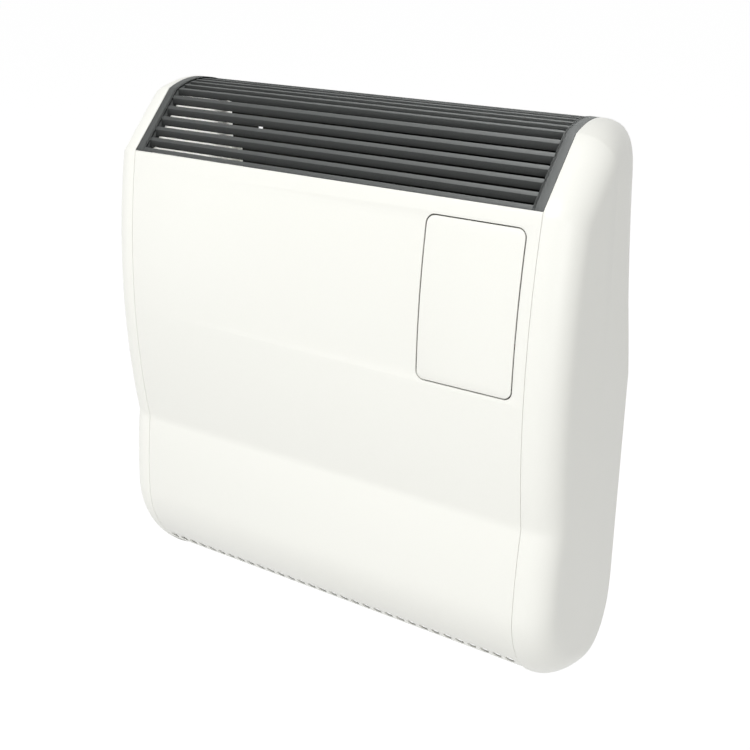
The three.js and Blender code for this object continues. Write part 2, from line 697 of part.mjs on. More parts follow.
// ---------------------------------------------------------------- grille
function topGrille() {
  const rearTurn = samples(topCorner, 5, 1).slice(0, 2);
  const line = [...grilleLine, ...rearTurn];
  const innerX = panelEnd - RIB_WIDTH;
  const skin = sheetSection(line, SHELL);
  const web = sheetSection(grilleLine, RIB_DEPTH);
  const ribs = [-1, 1].flatMap((side) => [
    barAlongX(skin, ...ordered(side * innerX, side * panelEnd)),
    barAlongX(web, ...ordered(side * innerX, side * (innerX + RIB_WEB))),
  ]);
  const slope = new THREE.Vector2(
    GRILLE_FOLD_DEPTH - GRILLE_FOOT_DEPTH,
    GRILLE_FOLD_HEIGHT - GRILLE_FOOT_HEIGHT,
  ).normalize();
  const foot = grilleLine[0];
  const railTop = [foot[0] + slope.x * RAIL, foot[1] + slope.y * RAIL];
  const lowerRail = barAlongX(sheetSection([foot, railTop], RAIL_DEPTH), -panelEnd, panelEnd);
  const rearLine = [crossing(grilleLine, 0, TOP_REAR_DEPTH + RAIL), ...line.slice(grilleLine.length - 1)];
  const rearRail = barAlongX(sheetSection(rearLine, SHELL), -panelEnd, panelEnd);
  const below = block(
    -PANEL_WIDTH,
    PANEL_WIDTH,
    GRILLE_FOOT_DEPTH - 3 * RAIL_DEPTH,
    GRILLE_FOOT_DEPTH + RAIL_DEPTH,
    GRILLE_FOOT_HEIGHT - 3 * RAIL_DEPTH,
    GRILLE_FOOT_HEIGHT,
  );
  const slats = slatDepths(TOP_REAR_DEPTH + RAIL).map((depth) => slat(depth, innerX + RIB_WEB / 2));
  return join([...ribs, lowerRail, rearRail, ...slats]).subtract(below);
}

function ordered(a, b) {
  return a < b ? [a, b] : [b, a];
}

function slatDepths(rearmost) {
  const depths = [];
  const end = rearmost + SLAT_PITCH / 2;
  for (let depth = GRILLE_FOOT_DEPTH - FIRST_SLAT; depth > end; depth -= SLAT_PITCH) depths.push(depth);
  return depths;
}

// An upright slat whose top edge follows the outline of the grille.
function slat(depth, halfWidth) {
  const back = depth - SLAT_THICKNESS;
  const top = topAt(depth) - SLAT_RECESS;
  const backTop = topAt(back) - SLAT_RECESS;
  const bottom = Math.min(top, backTop) - SLAT_FACE;
  const section = [[depth, bottom], [depth, top], [back, backTop], [back, bottom]];
  return barAlongX(section, -halfWidth, halfWidth);
}

// ---------------------------------------------------------------- chassis
const flueX = EXCHANGER_LEFT + EXCHANGER_LENGTH - FLUE_INSET;
const flueHeight = EXCHANGER_LOW + FLUE_RISE;
const backHalf = SIDE_FRAME_X - SEAT;

function backPlate() {
  const plate = block(-backHalf, backHalf, 0, SHEET, BACK_PLATE_LOW, BACK_PLATE_HIGH);
  const ports = [[flueX, flueHeight], [BLOWER_X, BLOWER_HEIGHT]]
    .map(([x, height]) => rodAlongDepth(FLUE_RADIUS + SEAT, x, -PAST, SHEET + PAST, height, 24));
  const slots = [-SLOT_X, SLOT_X].flatMap((x) => [SLOT_LOW, SLOT_HIGH].map((height) => block(
    x - SLOT_HALF_WIDTH,
    x + SLOT_HALF_WIDTH,
    -PAST,
    SHEET + PAST,
    height - SLOT_LENGTH / 2,
    height + SLOT_LENGTH / 2,
  )));
  const tab = block(
    GLAND_X - GLAND_TAB,
    GLAND_X + GLAND_TAB,
    0,
    GLAND_DEPTH + GLAND_TAB,
    BACK_PLATE_LOW,
    BACK_PLATE_LOW + SHEET,
  );
  const glandHole = rodAlongHeight(
    GLAND_RADIUS + SEAT,
    GLAND_X,
    GLAND_DEPTH,
    BACK_PLATE_LOW - PAST,
    BACK_PLATE_LOW + SHEET + PAST,
    16,
  );
  return cut(plate.add(tab), [...ports, ...slots, glandHole]);
}

// A side frame: a web that follows the casing, folded over onto the back plate.
function sideFrame(side) {
  const rear = SHEET + SEAT;
  const grilleInner = inset(grilleLine, RIB_DEPTH + SEAT);
  const section = [
    ...inset(frontBetween(BACK_PLATE_LOW, GRILLE_FOOT_HEIGHT - SIDE_FRAME_STEP), SHELL + SEAT),
    [grilleInner[0][0] - SIDE_FRAME_SETBACK, GRILLE_FOOT_HEIGHT - RIB_DEPTH - SIDE_FRAME_SETBACK],
    ...grilleInner.slice(1).filter(([depth]) => depth > TOP_REAR_DEPTH + RIB_DEPTH),
    [rear, BACK_PLATE_HIGH],
    [rear, BACK_PLATE_LOW],
  ];
  const web = barAlongX(section, ...ordered(side * SIDE_FRAME_X, side * (SIDE_FRAME_X + SHEET)));
  const flange = block(
    ...ordered(side * (SIDE_FRAME_X - SIDE_FLANGE), side * SIDE_FRAME_X),
    rear,
    rear + SHEET,
    SLOT_LOW + SLOT_LENGTH,
    SLOT_HIGH - SLOT_LENGTH,
  );
  return web.add(flange);
}

// ---------------------------------------------------------------- control tray and its controls
const fasciaBack = FASCIA_DEPTH - FASCIA;
const trayBottom = DOOR_BOTTOM - DOOR_GAP - TRAY_REBATE;
const trayTop = doorTop + DOOR_GAP + TRAY_REBATE;
const knobHeight = DOOR_BOTTOM + KNOB_RISE;
const keyHeight = DOOR_BOTTOM + KEY_RISE;
const lensHeight = DOOR_BOTTOM + LENS_RISE;
const powerX = doorMiddle - KEY_SPACING;
const fanKeyX = doorMiddle;
const resetX = doorMiddle + KEY_SPACING;
const boardDepth = fasciaBack - BOARD_STANDOFF;
const boardLow = trayTop - BOARD_HEIGHT - BOARD_DROP;

function controlTray() {
  const behindPanel = barAlongX([
    ...inset(frontBetween(trayBottom - REACH / 2, trayTop + REACH / 2), SHELL + SEAT),
    [fasciaBack, trayTop + REACH / 2],
    [fasciaBack, trayBottom - REACH / 2],
  ], trayInnerLeft - REACH, trayInnerRight + REACH);
  const outer = block(
    trayInnerLeft - TRAY_WALL,
    trayInnerRight + TRAY_WALL,
    fasciaBack,
    CUT_FRONT,
    trayBottom - TRAY_WALL,
    trayTop + TRAY_WALL,
  ).intersect(behindPanel);
  const inner = block(
    trayInnerLeft,
    trayInnerRight,
    FASCIA_DEPTH,
    CUT_FRONT + PAST,
    trayBottom,
    trayTop,
  );
  const keyHole = (x, width, height) => block(
    x - width / 2 - KEY_GAP,
    x + width / 2 + KEY_GAP,
    fasciaBack - PAST,
    FASCIA_DEPTH + PAST,
    keyHeight - height / 2 - KEY_GAP,
    keyHeight + height / 2 + KEY_GAP,
  );
  const roundHole = (x, height, radius) => (
    rodAlongDepth(radius, x, fasciaBack - PAST, FASCIA_DEPTH + PAST, height)
  );
  const pinHole = rodAlongX(
    HINGE_PIN_RADIUS + RUNNING,
    trayInnerLeft - REACH,
    trayInnerRight + REACH,
    hingeDepth,
    hingeHeight,
    16,
  );
  const standoffs = boardCorners().map(([x, height]) => (
    rodAlongDepth(STANDOFF_RADIUS, x, boardDepth + BOARD_THICKNESS + SEAT, fasciaBack + PAST, height, 12)
  ));
  const holes = [
    keyHole(powerX, ROCKER_WIDTH, ROCKER_HEIGHT),
    keyHole(fanKeyX, ROCKER_WIDTH, ROCKER_HEIGHT),
    roundHole(resetX, keyHeight, BUTTON_RADIUS + KEY_GAP),
    roundHole(doorMiddle, knobHeight, KNOB_SHAFT_RADIUS + SEAT),
    roundHole(doorMiddle - LENS_SPACING, lensHeight, LENS_RADIUS + SEAT),
    roundHole(doorMiddle + LENS_SPACING, lensHeight, LENS_RADIUS + SEAT),
    pinHole,
  ];
  return cut(join([outer.subtract(inner), ...standoffs]), holes);
}

function boardCorners() {
  const heights = [boardLow + STANDOFF_INSET, boardLow + BOARD_HEIGHT - STANDOFF_INSET];
  return [-1, 1].flatMap((side) => heights
    .map((height) => [doorMiddle + side * (BOARD_WIDTH / 2 - STANDOFF_INSET), height]));
}

const shaftEnd = fasciaBack - KNOB_SHAFT_REACH;

function temperatureKnob() {
  const rear = FASCIA_DEPTH + KEY_GAP;
  const front = rear + KNOB_THICKNESS;
  const grip = block(
    doorMiddle - KNOB_GRIP_WIDTH / 2,
    doorMiddle + KNOB_GRIP_WIDTH / 2,
    front - PAST,
    front + KNOB_GRIP_PROUD,
    knobHeight - KNOB_GRIP_LENGTH / 2,
    knobHeight + KNOB_GRIP_LENGTH / 2,
  );
  return join([
    rodAlongDepth(KNOB_RADIUS, doorMiddle, rear, front, knobHeight, 28),
    rodAlongDepth(KNOB_SHAFT_RADIUS, doorMiddle, shaftEnd, rear + PAST, knobHeight, 16),
    grip,
  ]);
}

function thermostatBody() {
  const half = THERMOSTAT_SIZE / 2;
  const front = fasciaBack - SEAT;
  const body = block(
    doorMiddle - half,
    doorMiddle + half,
    front - THERMOSTAT_DEPTH,
    front,
    knobHeight - half,
    knobHeight + half,
  );
  const bore = rodAlongDepth(
    KNOB_SHAFT_RADIUS + RUNNING * 2,
    doorMiddle,
    shaftEnd - PAST,
    FASCIA_DEPTH,
    knobHeight,
    16,
  );
  return body.subtract(bore);
}

const rockerAxisDepth = fasciaBack - ROCKER_AXIS;

// The rocker rests tipped to one side and its trunnions turn in the switch body.
function rocker(x) {
  const front = rockerAxisDepth + ROCKER_THICKNESS;
  const half = ROCKER_HEIGHT / 2;
  const section = [
    [rockerAxisDepth - ROCKER_ROOT, keyHeight - ROCKER_ROOT_HEIGHT / 2],
    [rockerAxisDepth + PAST, keyHeight - half],
    [front, keyHeight - half + ROCKER_DRAW],
    [front - ROCKER_DISH, keyHeight],
    [front, keyHeight + half - ROCKER_DRAW],
    [rockerAxisDepth + PAST, keyHeight + half],
    [rockerAxisDepth - ROCKER_ROOT, keyHeight + ROCKER_ROOT_HEIGHT / 2],
  ];
  const cap = barAlongX(section, x - ROCKER_WIDTH / 2, x + ROCKER_WIDTH / 2);
  const reach = ROCKER_WIDTH / 2 + KEY_GAP + TRUNNION_REACH;
  const trunnions = rodAlongX(TRUNNION_RADIUS, x - reach, x + reach, rockerAxisDepth, keyHeight, 12);
  return cap
    .translate([0, rockerAxisDepth, -keyHeight])
    .rotate([ROCKER_TILT, 0, 0])
    .translate([0, -rockerAxisDepth, keyHeight])
    .add(trunnions);
}

function switchBody(x) {
  const innerHalf = ROCKER_WIDTH / 2 + KEY_GAP;
  const halfHeight = ROCKER_HEIGHT / 2 + KEY_GAP;
  const rear = fasciaBack - SEAT - SWITCH_DEPTH;
  const ears = block(
    x - innerHalf - SWITCH_WALL,
    x + innerHalf + SWITCH_WALL,
    rear,
    fasciaBack - SEAT,
    keyHeight - halfHeight - SWITCH_WALL,
    keyHeight + halfHeight + SWITCH_WALL,
  );
  const cavity = block(
    x - innerHalf,
    x + innerHalf,
    rear + SWITCH_WALL,
    FASCIA_DEPTH,
    keyHeight - halfHeight,
    keyHeight + halfHeight,
  );
  const trunnionHole = rodAlongX(
    TRUNNION_RADIUS + RUNNING,
    x - innerHalf - SWITCH_WALL - PAST,
    x + innerHalf + SWITCH_WALL + PAST,
    rockerAxisDepth,
    keyHeight,
    12,
  );
  return cut(ears, [cavity, trunnionHole]);
}

function resetButton() {
  const front = FASCIA_DEPTH + BUTTON_PROUD;
  return join([
    rodAlongDepth(BUTTON_RADIUS, resetX, fasciaBack - BUTTON_SKIRT, front, keyHeight, 20),
    rodAlongDepth(STEM_RADIUS, resetX, fasciaBack - STEM_REACH, fasciaBack - PAST, keyHeight, 12),
  ]);
}

function resetSwitchBody() {
  const front = fasciaBack - SEAT;
  const half = BUTTON_RADIUS + KEY_GAP + SWITCH_WALL;
  const body = block(
    resetX - half,
    resetX + half,
    front - SWITCH_DEPTH,
    front,
    keyHeight - half,
    keyHeight + half,
  );
  const travel = BUTTON_TRAVEL + KEY_GAP;
  const wide = rodAlongDepth(
    BUTTON_RADIUS + KEY_GAP,
    resetX,
    fasciaBack - BUTTON_SKIRT - travel,
    FASCIA_DEPTH,
    keyHeight,
    20,
  );
  const narrow = rodAlongDepth(
    STEM_RADIUS + RUNNING * 2,
    resetX,
    fasciaBack - STEM_REACH - travel,
    FASCIA_DEPTH,
    keyHeight,
    12,
  );
  return cut(body, [wide, narrow]);
}

function indicatorLens(x) {
  const tip = new THREE.SphereGeometry(LENS_RADIUS, 12, 8);
  tip.translate(x, -FASCIA_DEPTH, lensHeight);
  const stem = rodAlongDepth(LENS_RADIUS, x, fasciaBack - LENS_REACH, FASCIA_DEPTH, lensHeight, 12);
  return stem.add(solid(tip));
}

function controlBoard() {
  return block(
    doorMiddle - BOARD_WIDTH / 2,
    doorMiddle + BOARD_WIDTH / 2,
    boardDepth,
    boardDepth + BOARD_THICKNESS,
    boardLow,
    boardLow + BOARD_HEIGHT,
  );
}

function boardCover() {
  const wall = COVER_WALL;
  const front = boardDepth - SEAT;
  const rear = front - COVER_DEPTH;
  const [x0, x1] = [doorMiddle - BOARD_WIDTH / 2, doorMiddle + BOARD_WIDTH / 2];
  const [low, high] = [boardLow, boardLow + BOARD_HEIGHT];
  return block(x0, x1, rear, front, low, high)
    .subtract(block(x0 + wall, x1 - wall, rear + wall, front + PAST, low + wall, high - wall));
}

function doorMagnet() {
  const front = depthAt(trayTop) - SHELL - SEAT;
  const high = trayTop - SEAT;
  return block(
    doorMiddle - MAGNET_WIDTH / 2,
    doorMiddle + MAGNET_WIDTH / 2,
    front - MAGNET_DEPTH,
    front,
    high - MAGNET_HEIGHT,
    high,
  );
}

// ---------------------------------------------------------------- heat exchanger
const exchangerRight = EXCHANGER_LEFT + EXCHANGER_LENGTH;
const exchangerFront = EXCHANGER_REAR + EXCHANGER_DEPTH;
const exchangerTop = EXCHANGER_LOW + EXCHANGER_HEIGHT;
const burnerDepth = EXCHANGER_REAR + EXCHANGER_DEPTH / 2;
const burnerHeight = EXCHANGER_LOW + BURNER_RISE;
const electrodeHeight = EXCHANGER_LOW + ELECTRODE_RISE;

// A cast box with a comb of upright fins on its front.
function heatExchanger() {
  const comb = new THREE.Shape();
  const firstFin = (EXCHANGER_LEFT + exchangerRight - (FIN_COUNT - 1) * FIN_PITCH) / 2;
  comb.moveTo(EXCHANGER_LEFT, -EXCHANGER_REAR);
  comb.lineTo(EXCHANGER_LEFT, -exchangerFront);
  for (let fin = 0; fin < FIN_COUNT; fin += 1) {
    const x = firstFin + fin * FIN_PITCH;
    comb.lineTo(x - FIN_THICKNESS / 2, -exchangerFront);
    comb.lineTo(x - FIN_THICKNESS / 3, -exchangerFront - FIN_DEPTH);
    comb.lineTo(x + FIN_THICKNESS / 3, -exchangerFront - FIN_DEPTH);
    comb.lineTo(x + FIN_THICKNESS / 2, -exchangerFront);
  }
  comb.lineTo(exchangerRight, -exchangerFront);
  comb.lineTo(exchangerRight, -EXCHANGER_REAR);
  const casting = new THREE.ExtrudeGeometry(comb, { depth: EXCHANGER_HEIGHT, bevelEnabled: false });
  casting.translate(0, 0, EXCHANGER_LOW);
  const chamber = block(
    EXCHANGER_LEFT + EXCHANGER_WALL,
    exchangerRight - EXCHANGER_WALL,
    EXCHANGER_REAR + EXCHANGER_WALL,
    exchangerFront - EXCHANGER_WALL,
    EXCHANGER_LOW + EXCHANGER_WALL,
    exchangerTop - EXCHANGER_WALL,
  );
  const flueHole = rodAlongDepth(
    FLUE_RADIUS - FLUE_WALL,
    flueX,
    EXCHANGER_REAR - PAST,
    EXCHANGER_REAR + EXCHANGER_WALL + PAST,
    flueHeight,
    24,
  );
  const burnerHole = rodAlongX(
    BURNER_RADIUS + SEAT,
    exchangerRight - EXCHANGER_WALL - PAST,
    exchangerRight + PAST,
    burnerDepth,
    burnerHeight,
    24,
  );
  const electrodeHoles = [-1, 1].map((side) => rodAlongX(
    ELECTRODE_RADIUS + SEAT,
    EXCHANGER_LEFT - PAST,
    EXCHANGER_LEFT + EXCHANGER_WALL + PAST,
    burnerDepth + (side * ELECTRODE_SPACING) / 2,
    electrodeHeight,
    12,
  ));
  return cut(solid(casting), [chamber, flueHole, burnerHole, ...electrodeHoles]);
}

// A channel that stands off the back plate and carries one end of the exchanger.
const bracketX = EXCHANGER_LEFT + BRACKET_INSET;

function exchangerBracket(x) {
  const rear = SHEET + SEAT;
  const front = EXCHANGER_REAR - SEAT;
  const low = EXCHANGER_LOW + (EXCHANGER_HEIGHT - BRACKET_HEIGHT) / 2;
  const half = BRACKET_WIDTH / 2;
  const high = low + BRACKET_HEIGHT;
  return block(x - half, x + half, rear, front, low, high)
    .subtract(block(
      x - half + SHEET,
      x + half + PAST,
      rear + SHEET,
      front - SHEET,
      low - PAST,
      high + PAST,
    ));
}

function burnerTube() {
  const alongBurner = (radius, x0, x1, sides) => (
    rodAlongX(radius, x0, x1, burnerDepth, burnerHeight, sides)
  );
  const left = EXCHANGER_LEFT + EXCHANGER_WALL + SEAT;
  const tubeLeft = left + BURNER_PIN_LENGTH;
  const right = DUCT_LEFT + BLOWER_WALL + BURNER_INSERT;
  const tube = alongBurner(BURNER_RADIUS, tubeLeft, right, 24);
  const bore = alongBurner(BURNER_RADIUS - BURNER_WALL, tubeLeft + BURNER_WALL, right + PAST, 24);
  const pin = alongBurner(BURNER_PIN_RADIUS, left, tubeLeft + PAST, 12);
  const middle = (EXCHANGER_LEFT + exchangerRight) / 2;
  const slots = Array.from({ length: BURNER_SLOTS }, (_, index) => {
    const x = middle + (index - (BURNER_SLOTS - 1) / 2) * BURNER_SLOT_PITCH;
    return block(
      x - BURNER_SLOT_LENGTH / 2,
      x + BURNER_SLOT_LENGTH / 2,
      burnerDepth - BURNER_SLOT_WIDTH / 2,
      burnerDepth + BURNER_SLOT_WIDTH / 2,
      burnerHeight,
      burnerHeight + 2 * BURNER_RADIUS,
    );
  });
  return cut(tube.add(pin), [bore, ...slots]);
}

function burnerFlange() {
  const left = exchangerRight + SEAT;
  const right = left + BURNER_FLANGE_THICKNESS;
  const half = BURNER_FLANGE / 2;
  const [rear, front] = [burnerDepth - half, burnerDepth + half];
  return block(left, right, rear, front, burnerHeight - half, burnerHeight + half).subtract(
    rodAlongX(BURNER_RADIUS + SEAT, left - PAST, right + PAST, burnerDepth, burnerHeight, 24),
  );
}

function flangeScrew(side) {
  const left = exchangerRight + 2 * SEAT + BURNER_FLANGE_THICKNESS;
  const offset = BURNER_FLANGE / 2 - FLANGE_SCREW_INSET;
  return rodAlongX(
    FLANGE_SCREW_RADIUS,
    left,
    left + FLANGE_SCREW_HEAD,
    burnerDepth + side * offset,
    burnerHeight + offset,
    6,
  );
}

// A ceramic-bodied electrode with its wire over the burner.
function electrode(side) {
  const depth = burnerDepth + (side * ELECTRODE_SPACING) / 2;
  const rod = (radius, x0, x1, sides) => rodAlongX(radius, x0, x1, depth, electrodeHeight, sides);
  const outer = EXCHANGER_LEFT - ELECTRODE_TAIL;
  const inner = EXCHANGER_LEFT + EXCHANGER_WALL + ELECTRODE_NOSE;
  return join([
    rod(ELECTRODE_RADIUS, outer, inner, 12),
    rod(ELECTRODE_WIRE_RADIUS, inner - PAST, inner + ELECTRODE_WIRE_LENGTH, 8),
    rod(ELECTRODE_STUD_RADIUS, outer - ELECTRODE_STUD_LENGTH, outer + PAST, 8),
  ]);
}

function limitThermostat() {
  const height = exchangerTop - LIMIT_DROP;
  const right = EXCHANGER_LEFT - SEAT;
  const left = right - LIMIT_THICKNESS;
  return join([
    rodAlongX(LIMIT_RADIUS, left, right, burnerDepth, height, 16),
    block(
      left - LIMIT_BODY_LENGTH,
      left + PAST,
      burnerDepth - LIMIT_BODY_DEPTH / 2,
      burnerDepth + LIMIT_BODY_DEPTH / 2,
      height - LIMIT_BODY_HEIGHT / 2,
      height + LIMIT_BODY_HEIGHT / 2,
    ),
  ]);
}

// ---------------------------------------------------------------- flue and air spigots
// A tube from the wall to what it serves, with a flange at its inner end. Its wall end stays
// just inside the back plate's face, where the pipe through the wall is pushed on.
function spigot(x, height, front) {
  const collarRear = SHEET + SEAT;
  const around = (radius, depth0, depth1) => rodAlongDepth(radius, x, depth0, depth1, height, 24);
  return join([
    around(FLUE_RADIUS, FLUE_RECESS, front),
    around(FLUE_FLANGE_RADIUS, front - FLUE_FLANGE, front),
    around(FLUE_RADIUS + FLUE_COLLAR, collarRear, collarRear + FLUE_FLANGE),
  ]).subtract(around(FLUE_RADIUS - FLUE_WALL, FLUE_RECESS - PAST, front + PAST));
}

// ---------------------------------------------------------------- combustion blower
const blowerRear = burnerDepth - BLOWER_DEPTH / 2;
const blowerFront = blowerRear + BLOWER_DEPTH;

function blowerHousing() {
  const drum = (wall) => rodAlongDepth(
    BLOWER_RADIUS - wall,
    BLOWER_X,
    blowerRear + wall,
    blowerFront - wall,
    BLOWER_HEIGHT,
    28,
  );
  const duct = (wall) => block(
    DUCT_LEFT + wall,
    BLOWER_X,
    blowerRear + wall,
    blowerFront - wall,
    burnerHeight - DUCT_HALF_HEIGHT + wall,
    burnerHeight + DUCT_HALF_HEIGHT - wall,
  );
  const hole = (radius, depth0, depth1) => (
    rodAlongDepth(radius, BLOWER_X, depth0 - PAST, depth1 + PAST, BLOWER_HEIGHT, 24)
  );
  const eye = hole(BLOWER_EYE_RADIUS, blowerRear, blowerRear + BLOWER_WALL);
  const shaftHole = hole(BLOWER_SHAFT_HOLE, blowerFront - BLOWER_WALL, blowerFront);
  const burnerHole = rodAlongX(
    BURNER_RADIUS + SEAT,
    DUCT_LEFT - PAST,
    DUCT_LEFT + BLOWER_WALL + PAST,
    burnerDepth,
    burnerHeight,
    24,
  );
  const injectorHole = rodAlongHeight(
    INJECTOR_RADIUS / 2 + SEAT,
    INJECTOR_X,
    burnerDepth,
    burnerHeight - DUCT_HALF_HEIGHT - PAST,
    burnerHeight - DUCT_HALF_HEIGHT + BLOWER_WALL + PAST,
    12,
  );
  const outer = drum(0).add(duct(0));
  const inner = drum(BLOWER_WALL).add(duct(BLOWER_WALL));
  return cut(outer, [inner, eye, shaftHole, burnerHole, injectorHole]);
}

function blowerWheel() {
  const discRear = blowerFront - BLOWER_DISC_GAP - BLOWER_DISC;
  const around = (radius, depth0, depth1, sides) => (
    rodAlongDepth(radius, BLOWER_X, depth0, depth1, BLOWER_HEIGHT, sides)
  );
  const disc = around(BLOWER_WHEEL_RADIUS, discRear, discRear + BLOWER_DISC, 24);
  const hub = around(BLOWER_HUB_RADIUS, discRear - BLADE_DEPTH / 2, discRear + PAST, 12);
  const shaft = around(BLOWER_SHAFT_RADIUS, discRear - PAST, blowerFront + MOTOR_SHAFT_REACH, 16);
  const blades = Array.from({ length: BLOWER_BLADES }, (_, index) => {
    const blade = new THREE.BoxGeometry(BLADE_LENGTH, BLADE_DEPTH, BLADE_THICKNESS);
    blade.translate(BLOWER_WHEEL_RADIUS - PAST - BLADE_LENGTH / 2, 0, 0);
    blade.rotateY((index / BLOWER_BLADES) * Math.PI * 2);
    blade.translate(BLOWER_X, -(discRear + PAST - BLADE_DEPTH / 2), BLOWER_HEIGHT);
    return solid(blade);
  });
  return join([disc, hub, shaft, ...blades]);
}

function blowerMotor() {
  const rear = blowerFront + SEAT;
  const can = rodAlongDepth(MOTOR_RADIUS, BLOWER_X, rear, rear + MOTOR_LENGTH, BLOWER_HEIGHT, 24);
  const bore = rodAlongDepth(
    BLOWER_SHAFT_RADIUS + RUNNING * 2,
    BLOWER_X,
    rear - PAST,
    rear + MOTOR_SHAFT_REACH + PAST,
    BLOWER_HEIGHT,
    16,
  );
  return can.subtract(bore);
}

// ---------------------------------------------------------------- gas train
const valveTop = VALVE_LOW + VALVE_HEIGHT;
const valveRear = VALVE_DEPTH - VALVE_THICKNESS / 2;
const feedX = VALVE_X - VALVE_WIDTH / 2 + FEED_INSET;
const ductBottom = burnerHeight - DUCT_HALF_HEIGHT;

function gasValve() {
  const half = VALVE_WIDTH / 2;
  const coils = [VALVE_X, VALVE_X + half - COIL_RADIUS].map((x) => (
    rodAlongHeight(COIL_RADIUS, x, VALVE_DEPTH, valveTop - PAST, valveTop + COIL_HEIGHT, 16)
  ));
  return join([
    block(VALVE_X - half, VALVE_X + half, valveRear, valveRear + VALVE_THICKNESS, VALVE_LOW, valveTop),
    ...coils,
  ]);
}

function valveBracket() {
  const top = VALVE_LOW - SEAT;
  const half = VALVE_WIDTH / 2 - VALVE_BRACKET_INSET;
  const rear = SHEET + SEAT;
  const front = valveRear + VALVE_THICKNESS - VALVE_BRACKET_INSET;
  const angle = barAlongX([
    [rear, top - VALVE_BRACKET_FLANGE],
    [rear, top],
    [front, top],
    [front, top - SHEET],
    [rear + SHEET, top - SHEET],
    [rear + SHEET, top - VALVE_BRACKET_FLANGE],
  ], VALVE_X - half, VALVE_X + half);
  return angle.subtract(
    rodAlongHeight(INLET_RADIUS + SEAT, VALVE_X, VALVE_DEPTH, top - SHEET - PAST, top + PAST, 16),
  );
}

const pipeLow = UNION_LOW + INLET_SOCKET;

function gasInletPipe() {
  const top = VALVE_LOW - SEAT;
  return rodAlongHeight(INLET_RADIUS, VALVE_X, VALVE_DEPTH, pipeLow, top, 16)
    .subtract(rodAlongHeight(INLET_BORE, VALVE_X, VALVE_DEPTH, pipeLow - PAST, top - INLET_PLUG, 16));
}

function gasInletUnion() {
  const high = UNION_LOW + UNION_LENGTH;
  return cut(rodAlongHeight(UNION_RADIUS, VALVE_X, VALVE_DEPTH, UNION_LOW, high, 6), [
    rodAlongHeight(INLET_BORE, VALVE_X, VALVE_DEPTH, UNION_LOW - PAST, high, 16),
    rodAlongHeight(INLET_RADIUS + SEAT, VALVE_X, VALVE_DEPTH, pipeLow - SEAT, high + PAST, 16),
  ]);
}

// The pipe from the valve to the injector rises, leans over and rises again.
function feedPipe() {
  const start = valveTop + SEAT;
  const end = ductBottom - INJECTOR_LENGTH - SEAT;
  const route = new THREE.CatmullRomCurve3([
    new THREE.Vector3(feedX, -burnerDepth, start),
    new THREE.Vector3(feedX, -burnerDepth, start + FEED_STRAIGHT),
    new THREE.Vector3((feedX + INJECTOR_X) / 2, -burnerDepth, (start + end) / 2),
    new THREE.Vector3(INJECTOR_X, -burnerDepth, end - FEED_STRAIGHT),
    new THREE.Vector3(INJECTOR_X, -burnerDepth, end),
  ]);
  const ring = new THREE.Shape().absarc(0, 0, FEED_RADIUS, 0, Math.PI * 2);
  const pipe = new THREE.ExtrudeGeometry(ring, { extrudePath: route, steps: 14, curveSegments: 5 });
  return solid(pipe);
}

function burnerInjector() {
  const low = ductBottom - INJECTOR_LENGTH;
  const nose = ductBottom + INJECTOR_NOSE;
  return join([
    rodAlongHeight(INJECTOR_RADIUS, INJECTOR_X, burnerDepth, low, ductBottom - SEAT, 6),
    rodAlongHeight(INJECTOR_RADIUS / 2, INJECTOR_X, burnerDepth, low + PAST, nose, 12),
  ]);
}

// ---------------------------------------------------------------- room-air fan
const rotorRight = ROTOR_LEFT + ROTOR_LENGTH;
const scrollLeft = ROTOR_LEFT - ROTOR_END_GAP - SHEET;
const scrollRight = rotorRight + ROTOR_END_GAP;

function crossflowRotor() {
  const middle = (ROTOR_LEFT + rotorRight) / 2;
  const discs = [ROTOR_LEFT, middle - ROTOR_DISC / 2, rotorRight - ROTOR_DISC]
    .map((x) => rodAlongX(ROTOR_RADIUS, x, x + ROTOR_DISC, ROTOR_DEPTH, ROTOR_HEIGHT, 24));
  const blades = Array.from({ length: ROTOR_BLADES }, (_, index) => {
    const length = ROTOR_LENGTH - ROTOR_DISC;
    const blade = new THREE.BoxGeometry(length, ROTOR_BLADE_THICKNESS, ROTOR_BLADE_WIDTH);
    blade.rotateX(ROTOR_BLADE_PITCH);
    blade.translate(0, ROTOR_RADIUS - ROTOR_BLADE_INSET, 0);
    blade.rotateX((index / ROTOR_BLADES) * Math.PI * 2);
    blade.translate(middle, -ROTOR_DEPTH, ROTOR_HEIGHT);
    return solid(blade);
  });
  const leftStub = rodAlongX(
    ROTOR_SHAFT_RADIUS,
    scrollLeft,
    ROTOR_LEFT + PAST,
    ROTOR_DEPTH,
    ROTOR_HEIGHT,
    16,
  );
  const rightStub = rodAlongX(
    ROTOR_SHAFT_RADIUS,
    rotorRight - PAST,
    scrollRight + SHEET + MOTOR_SHAFT_REACH,
    ROTOR_DEPTH,
    ROTOR_HEIGHT,
    16,
  );
  return join([...discs, leftStub, rightStub, ...blades]);
}

